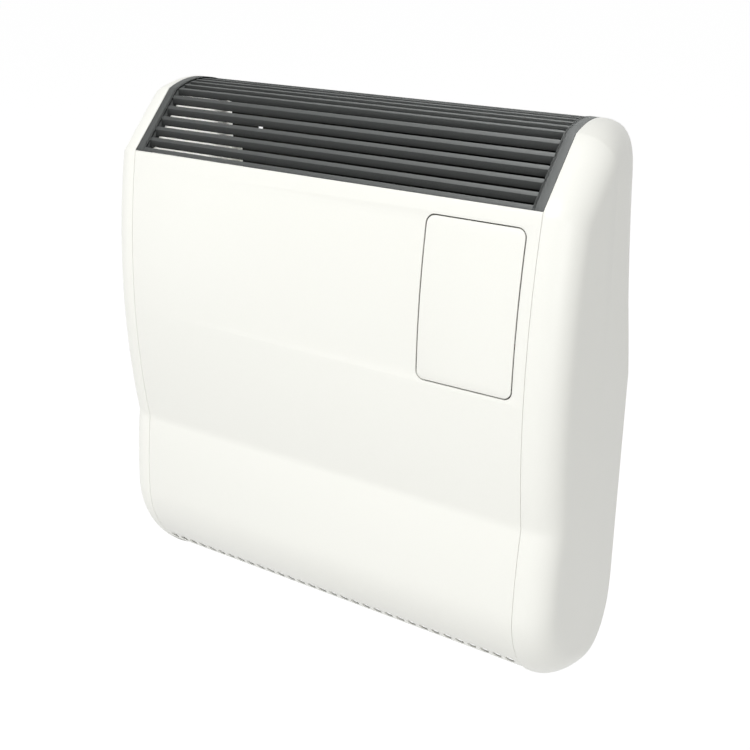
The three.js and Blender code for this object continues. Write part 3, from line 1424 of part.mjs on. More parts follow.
// The scroll: a rear guide, a front lip and two end plates that reach back to the back plate.
function fanScroll() {
  const [d, h, r] = [ROTOR_DEPTH, ROTOR_HEIGHT, ROTOR_RADIUS];
  const guide = quadratic([d - r * 0.3, h - r * 1.25], [d - r * 1.75, h - r], [d - r * 1.6, h + r * 1.1]);
  const guideLine = [...samples(guide, 7), [d - r * 1.6, SCROLL_TOP]];
  const lip = quadratic([d + r * 1.2, h + r * 0.1], [d + r * 1.3, h + r], [d + r * 1.6, h + r * 1.1]);
  const lipLine = [...samples(lip, 3), [d + r * 1.6, SCROLL_TOP]];
  const right = scrollRight + SHEET;
  const guideWall = barAlongX(sheetSection(guideLine, -SCROLL_SHEET), scrollLeft, right);
  const lipWall = barAlongX(sheetSection(lipLine, SCROLL_SHEET), scrollLeft, right);
  const side = [
    [SHEET + SEAT, SCROLL_TOP],
    [SHEET + SEAT, h - r],
    [d - r, h - r * 1.5],
    [d + r * 0.4, h - r * 1.5],
    [d + r * 1.7, h],
    [d + r * 1.7, SCROLL_TOP],
  ];
  const plates = [scrollLeft, scrollRight].map((x) => barAlongX(side, x, x + SHEET));
  const bearingHole = rodAlongX(BEARING_RADIUS, scrollLeft - PAST, scrollLeft + SHEET + PAST, d, h, 20);
  const shaftHole = rodAlongX(ROTOR_SHAFT_RADIUS + 2, scrollRight - PAST, right + PAST, d, h, 16);
  return cut(join([guideWall, lipWall, ...plates]), [bearingHole, shaftHole]);
}

function rotorBearing() {
  const [x0, x1] = [scrollLeft - BEARING_FLANGE, scrollLeft + SHEET + PAST];
  const around = (radius, from, to, sides) => rodAlongX(radius, from, to, ROTOR_DEPTH, ROTOR_HEIGHT, sides);
  const flange = around(BEARING_RADIUS + BEARING_FLANGE, x0, scrollLeft - SEAT, 20);
  const bush = around(BEARING_RADIUS - SEAT, x0, x1, 20);
  const bore = around(ROTOR_SHAFT_RADIUS + RUNNING, x0 + PAST, x1 + PAST, 16);
  return flange.add(bush).subtract(bore);
}

function fanMotor() {
  const left = scrollRight + SHEET + SEAT;
  const around = (radius, from, to, sides) => rodAlongX(radius, from, to, ROTOR_DEPTH, ROTOR_HEIGHT, sides);
  const can = around(MOTOR_RADIUS, left, left + MOTOR_LENGTH, 24);
  const bore = around(ROTOR_SHAFT_RADIUS + RUNNING * 2, left - PAST, left + MOTOR_SHAFT_REACH + PAST, 16);
  return can.subtract(bore);
}

// ---------------------------------------------------------------- small fittings
function cableGland() {
  const tabHigh = BACK_PLATE_LOW + SHEET;
  const low = BACK_PLATE_LOW - GLAND_HEAD;
  const high = tabHigh + GLAND_TAIL;
  const upright = (radius, from, to, sides) => (
    rodAlongHeight(radius, GLAND_X, GLAND_DEPTH, from, to, sides)
  );
  return join([
    upright(GLAND_RADIUS, low, high, 16),
    upright(GLAND_RADIUS + GLAND_NUT, tabHigh + SEAT, tabHigh + SEAT + GLAND_NUT_HEIGHT, 6),
    upright(GLAND_RADIUS + GLAND_NUT, low, BACK_PLATE_LOW - SEAT, 6),
  ]).subtract(upright(GLAND_BORE, low - PAST, high + PAST, 12));
}

function pressureSwitch() {
  const x = doorMiddle + PRESSURE_SWITCH_SHIFT;
  const height = DOOR_BOTTOM + PRESSURE_SWITCH_RISE;
  const rear = SHEET + SEAT;
  const front = rear + PRESSURE_SWITCH_DEPTH;
  const tailTop = height - PRESSURE_SWITCH_RADIUS + HOSE_TAIL_LENGTH / 2;
  const tails = [-1, 1].map((side) => rodAlongHeight(
    HOSE_TAIL_RADIUS,
    x + (side * HOSE_TAIL_SPACING) / 2,
    rear + PRESSURE_SWITCH_DEPTH / 2,
    tailTop - HOSE_TAIL_LENGTH - PAST,
    tailTop,
    8,
  ));
  return join([
    rodAlongDepth(PRESSURE_SWITCH_RADIUS, x, rear, front, height, 24),
    rodAlongDepth(PRESSURE_CAP_RADIUS, x, front - PAST, front + PRESSURE_CAP_DEPTH, height, 16),
    ...tails,
  ]);
}

function roomSensor() {
  const left = -SIDE_FRAME_X + SEAT;
  const low = BACK_PLATE_LOW + SENSOR_RISE;
  return join([
    block(
      left,
      left + SENSOR_THICKNESS,
      SENSOR_DEPTH - SENSOR_SIZE / 2,
      SENSOR_DEPTH + SENSOR_SIZE / 2,
      low,
      low + SENSOR_SIZE,
    ),
    rodAlongHeight(
      SENSOR_BULB_RADIUS,
      left + SENSOR_THICKNESS / 2,
      SENSOR_DEPTH,
      low - SENSOR_BULB_LENGTH + PAST,
      low + PAST,
      10,
    ),
  ]);
}

// ---------------------------------------------------------------- the assembly
const heater = new THREE.Group();

function addPart(name, body, colour, roughness, metalness = 0) {
  const { vertProperties, triVerts } = body.getMesh();
  const geometry = new THREE.BufferGeometry();
  geometry.setAttribute('position', new THREE.BufferAttribute(new Float32Array(vertProperties), 3));
  geometry.setIndex(new THREE.BufferAttribute(new Uint32Array(triVerts), 1));
  const look = { color: colour, roughness, metalness, flatShading: true };
  const mesh = new THREE.Mesh(geometry, new THREE.MeshStandardMaterial(look));
  mesh.name = name;
  heater.add(mesh);
}

const WHITE = 0xf7f7f0;
const ANTHRACITE = 0x4a4c4e;
const STEEL = 0xa9adb0;
const ALUMINIUM = 0xb7babc;
const BLACK = 0x232426;
const BRASS = 0xb89b52;

addPart('back_plate', backPlate(), STEEL, 0.45, 0.8);
addPart('side_frame_left', sideFrame(-1), STEEL, 0.45, 0.8);
addPart('side_frame_right', sideFrame(1), STEEL, 0.45, 0.8);
addPart('end_cap_right', endCap(), WHITE, 0.35);
addPart('end_cap_left', endCap().mirror([1, 0, 0]), WHITE, 0.35);
addPart('front_panel', frontPanel(), WHITE, 0.35);
addPart('top_grille', topGrille(), ANTHRACITE, 0.5);
addPart('control_door', controlDoor(), WHITE, 0.35);
addPart('hinge_pin_left', hingePin(-1), STEEL, 0.3, 0.9);
addPart('hinge_pin_right', hingePin(1), STEEL, 0.3, 0.9);
addPart('control_tray', controlTray(), 0xd9d9d2, 0.5);
addPart('door_magnet', doorMagnet(), BLACK, 0.5);
addPart('temperature_knob', temperatureKnob(), 0x3a3b3d, 0.4);
addPart('thermostat_body', thermostatBody(), BLACK, 0.5);
addPart('power_rocker', rocker(powerX), 0x2b2c2e, 0.35);
addPart('power_switch_body', switchBody(powerX), BLACK, 0.5);
addPart('fan_rocker', rocker(fanKeyX), 0x2b2c2e, 0.35);
addPart('fan_switch_body', switchBody(fanKeyX), BLACK, 0.5);
addPart('reset_button', resetButton(), 0xb8342c, 0.35);
addPart('reset_switch_body', resetSwitchBody(), BLACK, 0.5);
addPart('flame_lens', indicatorLens(doorMiddle - LENS_SPACING), 0x58b04a, 0.15);
addPart('fault_lens', indicatorLens(doorMiddle + LENS_SPACING), 0xc43a30, 0.15);
addPart('control_board', controlBoard(), 0x2f6b3c, 0.5);
addPart('board_cover', boardCover(), 0x9a9c98, 0.6);
addPart('heat_exchanger', heatExchanger(), ALUMINIUM, 0.5, 0.8);
addPart('exchanger_bracket_left', exchangerBracket(bracketX), STEEL, 0.45, 0.8);
addPart('exchanger_bracket_right', exchangerBracket(flueX - BRACKET_FLUE_SPACING), STEEL, 0.45, 0.8);
addPart('burner_tube', burnerTube(), 0x8d8a84, 0.4, 0.9);
addPart('burner_flange', burnerFlange(), STEEL, 0.45, 0.8);
addPart('flange_screw_rear', flangeScrew(-1), STEEL, 0.3, 0.9);
addPart('flange_screw_front', flangeScrew(1), STEEL, 0.3, 0.9);
addPart('ignition_electrode', electrode(-1), 0xe8e4da, 0.3);
addPart('flame_electrode', electrode(1), 0xe8e4da, 0.3);
addPart('limit_thermostat', limitThermostat(), BLACK, 0.5);
addPart('flue_spigot', spigot(flueX, flueHeight, EXCHANGER_REAR - SEAT), ALUMINIUM, 0.5, 0.8);
addPart('air_spigot', spigot(BLOWER_X, BLOWER_HEIGHT, blowerRear - SEAT), ALUMINIUM, 0.5, 0.8);
addPart('blower_housing', blowerHousing(), ALUMINIUM, 0.5, 0.8);
addPart('blower_wheel', blowerWheel(), 0x8f9295, 0.4, 0.9);
addPart('blower_motor', blowerMotor(), 0x6f7376, 0.4, 0.8);
addPart('gas_valve', gasValve(), ALUMINIUM, 0.5, 0.8);
addPart('valve_bracket', valveBracket(), STEEL, 0.45, 0.8);
addPart('gas_inlet_pipe', gasInletPipe(), BRASS, 0.35, 0.9);
addPart('gas_inlet_union', gasInletUnion(), BRASS, 0.35, 0.9);
addPart('burner_feed_pipe', feedPipe(), 0xb4733f, 0.35, 0.9);
addPart('burner_injector', burnerInjector(), BRASS, 0.35, 0.9);
addPart('fan_scroll', fanScroll(), STEEL, 0.45, 0.8);
addPart('crossflow_rotor', crossflowRotor(), 0x8f9295, 0.4, 0.9);
addPart('rotor_bearing', rotorBearing(), BLACK, 0.7);
addPart('fan_motor', fanMotor(), 0x6f7376, 0.4, 0.8);
addPart('pressure_switch', pressureSwitch(), 0xd9d9d2, 0.5);
addPart('room_sensor', roomSensor(), BLACK, 0.5);
addPart('cable_gland', cableGland(), BLACK, 0.5);

heater.position.z = -ORIGIN_HEIGHT;

export default heater;
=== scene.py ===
# %% [markdown]
# This lesson dresses a gas heater that hangs on a wall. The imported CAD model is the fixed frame: it
# gives every size and place, and says what moves. Over it come smooth casing mouldings, a grille
# with soft edges, a door and a knob, and a finish for each piece.

# %% Load the frame
import json
import math
import bmesh
import bpy
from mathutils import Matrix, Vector

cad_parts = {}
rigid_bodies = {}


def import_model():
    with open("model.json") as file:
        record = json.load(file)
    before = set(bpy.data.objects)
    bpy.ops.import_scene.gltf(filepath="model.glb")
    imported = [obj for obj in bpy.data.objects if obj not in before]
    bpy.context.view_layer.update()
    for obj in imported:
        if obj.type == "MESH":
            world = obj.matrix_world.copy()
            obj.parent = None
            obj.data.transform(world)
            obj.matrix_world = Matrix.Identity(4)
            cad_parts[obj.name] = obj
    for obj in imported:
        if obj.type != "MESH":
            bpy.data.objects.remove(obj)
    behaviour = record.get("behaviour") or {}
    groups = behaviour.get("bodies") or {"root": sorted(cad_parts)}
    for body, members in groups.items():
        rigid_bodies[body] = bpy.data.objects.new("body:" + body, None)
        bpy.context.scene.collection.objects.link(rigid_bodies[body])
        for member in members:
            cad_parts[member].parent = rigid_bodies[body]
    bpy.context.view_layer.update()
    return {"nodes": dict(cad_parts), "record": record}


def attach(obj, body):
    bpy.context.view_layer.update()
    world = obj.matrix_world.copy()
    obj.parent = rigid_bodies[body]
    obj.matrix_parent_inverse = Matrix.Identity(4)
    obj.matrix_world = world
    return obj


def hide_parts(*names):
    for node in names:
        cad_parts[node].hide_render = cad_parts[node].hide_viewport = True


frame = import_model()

# %% [markdown]
# The picture is taken with a 56 mm lens from the right, a little above the heater. The camera stays
# level from side to side, so that the wall-hung casing leans nowhere but by its own perspective.

# %% Camera
camera_data = bpy.data.cameras.new("camera")
camera_data.lens = 55.72
camera_data.sensor_width = 36
camera_data.clip_end = 100
camera = bpy.data.objects.new("camera", camera_data)
bpy.context.collection.objects.link(camera)
camera.location = (0.75087, -1.2045, 0.5279)
camera.rotation_euler = Vector((-0.5076, 0.7725, -0.3815)).to_track_quat("-Z", "Y").to_euler()
bpy.context.scene.camera = camera
bpy.context.scene.view_settings.view_transform = "Standard"
print("camera looks down by", round(math.degrees(math.asin(0.3815)), 1), "degrees")

# %% [markdown]
# All places on the heater are given as a designer reads them from a side view: x to the right of
# the middle, depth out from the wall, and height above the lowest point of the casing, in
# millimetres. One function turns them into Blender's metres.

# %% Places on the heater
ORIGIN_HEIGHT = 352


def place(x, depth, height):
    """A point in Blender's metres."""
    return Vector((x, -depth, height - ORIGIN_HEIGHT)) / 1000


def bezier(controls, share):
    """A point on a Bezier curve with any number of control points."""
    row = [Vector(control) for control in controls]
    while len(row) > 1:
        row = [first.lerp(second, share) for first, second in zip(row, row[1:])]
    return row[0]


def along(controls, steps):
    """Even steps along a Bezier curve, its last point left out."""
    return [bezier(controls, step / steps) for step in range(steps)]


# %% [markdown]
# The casing's side outline is one closed line of nine runs. From the lowest point it turns up into
# the belly, draws in to a crease, bows out again, and folds back along the grille and over the
# crown to the wall. The end caps follow all of it, and the front panel and the door its front.

# %% Side outline
UNDERSIDE = [(68, 0), (148, 0), (201, 70.2), (201, 130)]
BELLY = [(201, 130), (199.5, 184.25), (189.8, 238.5)]
BOW = [(189.8, 238.5), (216.5, 415.25), (178.2, 592)]
SLOPE = [(178.2, 592), (111.1, 658.3)]
CROWN = [(111.1, 658.3), (69.05, 674.83), (27, 660)]
TOP_CORNER = [(27, 660), (1, 653.2), (1, 630)]
REAR_HIGH = [(1, 630), (1, 370)]
REAR_LOW = [(1, 370), (1, 98)]
BOTTOM_CORNER = [(1, 98), (1, 40.2), (28.5, 0), (68, 0)]
STEPS = [(UNDERSIDE, 8), (BELLY, 4), (BOW, 11), (SLOPE, 1), (CROWN, 7), (TOP_CORNER, 5),
         (REAR_HIGH, 8), (REAR_LOW, 9), (BOTTOM_CORNER, 5)]
FINE = 5

front_line = along(UNDERSIDE, 40) + along(BELLY, 20) + along(BOW, 55) + [Vector(BOW[-1])]
grille_line = along(SLOPE, 10) + along(CROWN, 35) + [Vector(CROWN[-1])]
print("front outline", len(front_line), "points, top outline", len(grille_line), "points")


def crossing(line, axis, value):
    """Where a line of points crosses a depth (axis 0) or a height (axis 1)."""
    for first, second in zip(line, line[1:]):
        low, high = sorted((first[axis], second[axis]))
        if low <= value <= high and high > low:
            return first.lerp(second, (value - first[axis]) / (second[axis] - first[axis]))


def front_between(low, high):
    """The front outline from one height up to another."""
    inner = [point for point in front_line if low + 0.5 < point.y < high - 0.5]
    return [crossing(front_line, 1, low), *inner, crossing(front_line, 1, high)]


def inset(line, distances, closed=False):
    """A line moved to the inside of the casing, square to itself at every point."""
    moved = []
    for index, point in enumerate(line):
        before = line[index - 1] if index or closed else point
        after = line[(index + 1) % len(line)] if index + 1 < len(line) or closed else point
        sides = [Vector((a.y - b.y, b.x - a.x)).normalized()
                 for a, b in ((before, point), (point, after)) if (a - b).length > 0]
        middle = sum(sides, Vector((0, 0))).normalized()
        moved.append(point + middle * distances[index] / middle.dot(sides[0]))
    return moved


# %% [markdown]
# A few small helpers stand for the moves that are made by hand: draw a line, select by place, pull
# a shape along, round its edges, and use a modifier up. Each works on one piece at a time.

# %% Modelling helpers
def only(piece):
    """Selects one object and makes it the active one."""
    bpy.ops.object.select_all(action="DESELECT")
    piece.select_set(True)
    bpy.context.view_layer.objects.active = piece


def draw(name, lines, closed=True):
    """Chains of edges, drawn as a curve with one spline for each line and turned into a mesh."""
    bpy.ops.object.select_all(action="DESELECT")
    bpy.ops.curve.primitive_bezier_curve_add()
    curve = bpy.context.object
    curve.name = name
    curve.data.splines.clear()
    for line in lines:
        spline = curve.data.splines.new("POLY")
        spline.points.add(len(line) - 1)
        for knot, spot in zip(spline.points, line):
            knot.co = (*spot, 1)
        spline.use_cyclic_u = closed
    bpy.ops.object.convert(target="MESH")
    return bpy.context.object


def pick(piece, wanted, kind="verts"):
    """In edit mode, selects only the points, edges or faces that a test wants."""
    shape = bmesh.from_edit_mesh(piece.data)
    shape.select_mode = {kind[:-1].upper()}
    for group in (shape.verts, shape.edges, shape.faces):
        for item in group:
            item.select = False
    for item in getattr(shape, kind):
        if wanted(item):
            item.select_set(True)
    shape.select_flush_mode()
    bmesh.update_edit_mesh(piece.data)


def pull(vector):
    """Extrudes what is selected by a vector."""
    bpy.ops.mesh.extrude_region_move(TRANSFORM_OT_translate={"value": vector})


def edit(piece):
    """Starts edit mode on one piece."""
    only(piece)
    bpy.ops.object.mode_set(mode="EDIT")
    bpy.ops.mesh.select_mode(type="VERT")


def leave():
    """Back to object mode, with the faces pointing out."""
    bpy.ops.mesh.select_all(action="SELECT")
    bpy.ops.mesh.normals_make_consistent(inside=False)
    bpy.ops.object.mode_set(mode="OBJECT")


def use(piece, kind, **settings):
    """Adds a modifier with its settings and applies it."""
    only(piece)
    modifier = piece.modifiers.new(kind, kind)
    for setting, value in settings.items():
        setattr(modifier, setting, value)
    bpy.ops.object.modifier_apply(modifier=modifier.name)


def soften(piece, width, segments=2, angle=32):
    """Rounds the sharp edges by a width in millimetres and shades the rest smooth."""
    use(piece, "BEVEL", width=width / 1000, segments=segments, limit_method="ANGLE",
        angle_limit=math.radians(angle), harden_normals=False)
    only(piece)
    bpy.ops.object.shade_smooth_by_angle(angle=math.radians(angle + 6))


def pull_outline(name, outline, vector):
    """A solid: a closed outline, filled and pulled along a vector."""
    piece = draw(name, [outline])
    edit(piece)
    bpy.ops.mesh.select_all(action="SELECT")
    bpy.ops.mesh.edge_face_add()
    pull(vector)
    leave()
    return piece


def bar(name, section, x0, x1):
    """A solid along x with a section of depths and heights."""
    return pull_outline(name, [place(x0, *spot) for spot in section], ((x1 - x0) / 1000, 0, 0))


def block(name, x0, x1, depth0, depth1, height0, height1):
    """A cube primitive added at its size and place."""
    low, high = place(x0, depth1, height0), place(x1, depth0, height1)
    bpy.ops.object.select_all(action="DESELECT")
    bpy.ops.mesh.primitive_cube_add(size=1, location=(low + high) / 2, scale=high - low)
    bpy.ops.object.transform_apply(location=True, rotation=True, scale=True)
    bpy.context.object.name = name
    return bpy.context.object


def join(pieces):
    """Makes one object of several."""
    only(pieces[0])
    for piece in pieces[1:]:
        piece.select_set(True)
    bpy.ops.object.join()
    return pieces[0]


def carve(piece, cutter, operation="DIFFERENCE"):
    """Cuts with another solid, or keeps what is inside it, and removes that solid."""
    use(piece, "BOOLEAN", operation=operation, solver="EXACT", object=cutter)
    bpy.data.objects.remove(cutter)


def rounded_block(name, corner, *sides):
    """A block whose four edges along the depth are rounded: what a punch or a mould leaves."""
    piece = block(name, *sides)
    edit(piece)
    pick(piece, lambda edge: abs((edge.verts[0].co - edge.verts[1].co).normalized().y) > 0.9,
         "edges")
    bpy.ops.mesh.bevel(offset=corner / 1000, segments=8)
    leave()
    return piece


# %% [markdown]
# The front panel is one sheet, 2.5 mm thick, pressed to the outline. Its profile is drawn from the
# lip to the grille's foot, pulled across the heater, and given its wall by Solidify. The door's
# opening and the row of 32 rounded intake slots in the lip are punched afterwards, as on the real
# sheet, so that the surface stays true around them.

# %% Front panel
SHELL = 2.5
PANEL_END = 274.75
DOOR = (145.1, 259.7, 393.4, 572.2)
DOOR_GAP = 1.6


def front_sheet(name, low, high, x0, x1):
    """A wall that follows the front outline between two heights."""
    sheet = draw(name, [[place(x0, *spot) for spot in front_between(low, high)]], closed=False)
    edit(sheet)
    bpy.ops.mesh.select_all(action="SELECT")
    pull(((x1 - x0) / 1000, 0, 0))
    bpy.ops.mesh.select_all(action="SELECT")
    bpy.ops.mesh.normals_make_consistent(inside=False)
    bpy.ops.object.mode_set(mode="OBJECT")
    if sum(face.normal.y for face in sheet.data.polygons) > 0:
        sheet.data.flip_normals()
    use(sheet, "SOLIDIFY", thickness=SHELL / 1000, offset=-1, use_even_offset=True)
    return sheet


front_panel = front_sheet("front_panel_sheet", 43, 591.7, -PANEL_END, PANEL_END)
door_left, door_right, door_low, door_high = DOOR
carve(front_panel, rounded_block("door_opening", 9 + DOOR_GAP,
                                 door_left - DOOR_GAP, door_right + DOOR_GAP, 170, 220,
                                 door_low - DOOR_GAP, door_high + DOOR_GAP))
slots = [rounded_block("slot", 4.5, x - 5.75, x + 5.75, 130, 190, 47, 57)
         for x in [(index - 15.5) * 16.9 for index in range(32)]]
carve(front_panel, join(slots))
soften(front_panel, 0.5)
print("front panel", len(front_panel.data.polygons), "faces")

# %% [markdown]
# Each end cap is a moulding whose edge follows the side outline and whose outer face is smaller all
# round. Between the two it rounds over like a quarter of a circle, wide along the front and narrow
# along the wall, and at the top rear it falls forward as one soft shoulder. Both outlines are
# drawn, then rings between them are bridged one after another, and Solidify gives the wall.

# %% End caps
CAP_WIDTH = 40
CAP_RINGS = 14
FRONT_FILLET, REAR_FILLET = 36.7, 10.4


def through(points, corners):
    """Fine points on a smooth line through a closed list, which turns sharply at the corners."""
    count, fine = len(points), []
    for index in range(count):
        start, end = points[index], points[(index + 1) % count]
        before = points[index - 1] if index not in corners else start
        after = points[(index + 2) % count] if (index + 1) % count not in corners else end
        leave_by, reach_by = (end - before) / 2, (after - start) / 2
        if index in corners:
            leave_by = end - start
        if (index + 1) % count in corners:
            reach_by = end - start
        for step in range(FINE):
            s = step / FINE
            fine.append((2 * s**3 - 3 * s**2 + 1) * start + (s**3 - 2 * s**2 + s) * leave_by
                        + (3 * s**2 - 2 * s**3) * end + (s**3 - s**2) * reach_by)
    return fine


def cap_outlines():
    """The cap's edge and the outline of its outer face, point for point."""
    rough = [spot for controls, steps in STEPS for spot in along(controls, steps)]
    edge = [spot for controls, steps in STEPS for spot in along(controls, steps * FINE)]
    radii = [REAR_FILLET + (FRONT_FILLET - REAR_FILLET) * min(max(spot.x / 111.1, 0), 1)
             for spot in rough]
    drawn = inset(rough, radii, closed=True)
    crease, foot, fold = 12, 23, 24
    face = through(drawn, {crease, foot, fold})
    start, end = fold * FINE, 44 * FINE
    runs = [0]
    for index in range(start, end):
        runs.append(runs[-1] + (edge[index + 1] - edge[index]).length)
    shoulder = [drawn[fold], (90, 612), (34, 470), (1 + REAR_FILLET, 370)]
    for index, run in enumerate(runs):
        face[start + index] = bezier(shoulder, run / runs[-1])
    return edge, face


cap_edge, cap_face = cap_outlines()


def cap_ring(angle):
    """One ring of the rounded edge, from 0 at the outline to a right angle at the outer face."""
    ring = []
    for outer, inner in zip(cap_edge, cap_face):
        across = min((inner - outer).length, CAP_WIDTH - 2)
        spot = outer.lerp(inner, 1 - math.cos(angle))
        ring.append(place(275.25 + CAP_WIDTH - across * (1 - math.sin(angle)), *spot))
    return ring


def end_cap(name):
    """The right-hand cap, open towards the heater."""
    seam = [place(275.25, *spot) for spot in cap_edge]
    rings = [seam] + [cap_ring(math.pi / 2 * step / CAP_RINGS) for step in range(CAP_RINGS + 1)]
    cap = draw(name, rings)
    count = len(cap_edge)
    edit(cap)
    for ring in range(len(rings) - 1):
        pick(cap, lambda point: ring * count <= point.index < (ring + 2) * count)
        bpy.ops.mesh.bridge_edge_loops()
    pick(cap, lambda point: point.index >= (len(rings) - 1) * count)
    bpy.ops.mesh.edge_face_add()
    leave()
    widest = max(cap.data.polygons, key=lambda face: face.area)
    if widest.normal.x < 0:
        cap.data.flip_normals()
    use(cap, "SOLIDIFY", thickness=SHELL / 1000, offset=-1, use_even_offset=True)
    soften(cap, 0.5, angle=40)
    return cap


cap_right = end_cap("end_cap_right_shell")
print("end cap", len(cap_right.data.polygons), "faces")

# %% [markdown]
# Two bosses stand inside each cap and reach the side frame, where a screw holds them. The left cap
# is the right one mirrored, and its faces are turned out again.

# %% Bosses and the left cap
def rod(name, radius, start, end, sides=32):
    """A cylinder between two points in metres, whose rims are softened afterwards."""
    bpy.ops.object.select_all(action="DESELECT")
    turn = (end - start).to_track_quat("Z", "Y").to_euler()
    bpy.ops.mesh.primitive_cylinder_add(vertices=sides, radius=radius / 1000,
                                        depth=(end - start).length,
                                        location=(start + end) / 2, rotation=turn)
    bpy.ops.object.transform_apply(location=True, rotation=True, scale=True)
    piece = bpy.context.object
    piece.name = name
    return piece


bosses = [rod("boss", 6, place(270.3, 120, height), place(314, 120, height))
          for height in (150, 560)]
for boss in bosses:
    soften(boss, 0.4)
join([cap_right, *bosses])
only(cap_right)
bpy.ops.object.duplicate()
cap_left = bpy.context.object
cap_left.name = "end_cap_left_shell"
edit(cap_left)
bpy.ops.mesh.select_all(action="SELECT")
bpy.ops.transform.resize(value=(-1, 1, 1), center_override=(0, 0, 0))
bpy.ops.mesh.flip_normals()
bpy.ops.object.mode_set(mode="OBJECT")
print("two end caps")

# %% [markdown]
# The grille is one moulding of twelve upright slats between two ribs. Their tops are cut to the
# slope, so each shows a light upper edge over a dark face, with a black gap below. Every slat is an
# outline pulled across the heater; then come the ribs with their webs, and the two rails.

# %% Grille
RIB_INNER = 262
SLOPE_WAY = (Vector(SLOPE[1]) - Vector(SLOPE[0])).normalized()


def sheet_section(line, thickness):
    """The section of a wall that follows a line."""
    return line + inset(line, [thickness] * len(line))[::-1]


def slat_section(depth):
    """An upright slat whose top edge follows the outline of the grille, 1.5 mm below the ribs."""
    back = depth - 3.5
    top, back_top = (crossing(grille_line, 0, at).y - 1.5 for at in (depth, back))
    low = min(top, back_top) - 7.8
    return [(depth, low), (depth, top), (back, back_top), (back, low)]


slat_depths = [165.2 - 11.3 * index for index in range(12)]
bars = [bar("slat", slat_section(depth), -RIB_INNER - 1, RIB_INNER + 1) for depth in slat_depths]
above_foot = [spot for spot in grille_line if spot.y > 592.2]
corner_line = along(TOP_CORNER, 5)[1:3]
rib_line = [Vector((178, 592.2)), *above_foot, *corner_line]
web_line = [Vector((178, 592.2)), *above_foot]


def flat_foot(section):
    """Levels a section that would reach below the top of the front panel."""
    return [(depth, max(height, 592)) for depth, height in section]


for side in (-1, 1):
    low, high = sorted((side * RIB_INNER, side * PANEL_END))
    bars.append(bar("rib", flat_foot(sheet_section(rib_line, SHELL)), low, high))
    low, high = sorted((side * RIB_INNER, side * (RIB_INNER + 3)))
    bars.append(bar("web", flat_foot(sheet_section(web_line, 12)), low, high))
rail = [Vector(SLOPE[0]), Vector(SLOPE[0]) + SLOPE_WAY * 6]
bars.append(bar("lower_rail", flat_foot(sheet_section(rail, 9)), -PANEL_END, PANEL_END))
rear = [crossing(grille_line, 0, 33), Vector(CROWN[-1]), *corner_line]
bars.append(bar("rear_rail", sheet_section(rear, SHELL), -PANEL_END, PANEL_END))
for piece in bars:
    soften(piece, 0.35)
top_grille = join(bars)
top_grille.name = "top_grille_moulding"
print("grille", len(slat_depths), "slats")

# %% [markdown]
# The control door is cut out of the same pressed profile as the panel, so that it closes flush, and
# its corners are rounded to leave an even gap. Two barrels behind its lower edge hang on pins.

# %% Door
control_door = front_sheet("control_door_leaf", door_low - 1, door_high + 1,
                           door_left - 1, door_right + 1)
leaf = rounded_block("door_leaf", 9, door_left, door_right, 170, 220, door_low, door_high)
carve(control_door, leaf, "INTERSECT")
soften(control_door, 0.5)
hinge_depth = crossing(front_line, 1, door_low).x - 5.5
hinge_height = door_low + 9.6
barrels = []
for x0, x1 in ((door_left + 3.6, door_left + 14.6), (door_right - 14.6, door_right - 3.6)):
    barrel = rod("barrel", 2.7, place(x0, hinge_depth, hinge_height),
                 place(x1, hinge_depth, hinge_height))
    lug = block("lug", x0, x1, hinge_depth, hinge_depth + 4.25, hinge_height - 2, hinge_height + 2)
    barrels += [barrel, lug]
for piece in barrels:
    soften(piece, 0.3)
join([control_door, *barrels])
print("hinge axis at depth", round(hinge_depth, 2), "height", round(hinge_height, 2))

# %% [markdown]
# The knob is turned and moulded: a skirt, a slightly tapered grip ring and a raised bar to hold it
# by. Half of its section is drawn and spun round the shaft, and the bar is a block with soft edges.

# %% Knob
KNOB_X, KNOB_HEIGHT = 202.4, 518.4


def spun(name, section, x, height, steps=72):
    """A turned piece: radii and depths, spun round an axis that points out of the wall."""
    half = [place(x + radius, depth, height) for radius, depth in section]
    piece = draw(name, [half], closed=False)
    edit(piece)
    bpy.ops.mesh.select_all(action="SELECT")
    bpy.ops.mesh.spin(steps=steps, angle=2 * math.pi, center=place(x, 0, height), axis=(0, 1, 0))
    bpy.ops.mesh.select_all(action="SELECT")
    bpy.ops.mesh.remove_doubles(threshold=0.000001)
    leave()
    return piece


knob = spun("temperature_knob_turned",
            [(0, 145), (3, 145), (3, 157.6), (20, 157.5), (20, 159.5), (18.6, 160.2), (18, 170.5),
             (17.2, 171.5), (0, 171.8)], KNOB_X, KNOB_HEIGHT)
grip = block("grip", KNOB_X - 3.5, KNOB_X + 3.5, 168, 176.5, KNOB_HEIGHT - 17, KNOB_HEIGHT + 17)
soften(knob, 0.4)
soften(grip, 1.2, segments=4)
join([knob, grip])
print("knob", len(knob.data.polygons), "faces")

# %% [markdown]
# The smaller fittings keep the CAD's shape. A copy of each is merged, because its triangles are
# loose, its flat sides are put together again, and its sharp edges are rounded a little, so that
# they catch the light as moulded, cast or bent edges do. Weighted normals keep the flat sides flat.

# %% Fittings with soft edges
def softened_copy(node, width, angle=32):
    """A merged copy of a CAD node with rounded edges, to stand for it."""
    only(frame["nodes"][node])
    bpy.ops.object.duplicate()
    piece = bpy.context.object
    piece.name = node + "_soft"
    bpy.ops.object.parent_clear(type="CLEAR_KEEP_TRANSFORM")
    edit(piece)
    bpy.ops.mesh.select_all(action="SELECT")
    bpy.ops.mesh.remove_doubles(threshold=0.000005)
    bpy.ops.mesh.dissolve_limited(angle_limit=math.radians(0.5))
    bpy.ops.object.mode_set(mode="OBJECT")
    if piece.data.has_custom_normals:
        bpy.ops.mesh.customdata_custom_splitnormals_clear()
    soften(piece, width, angle=angle)
    use(piece, "WEIGHTED_NORMAL", keep_sharp=True)
    return piece


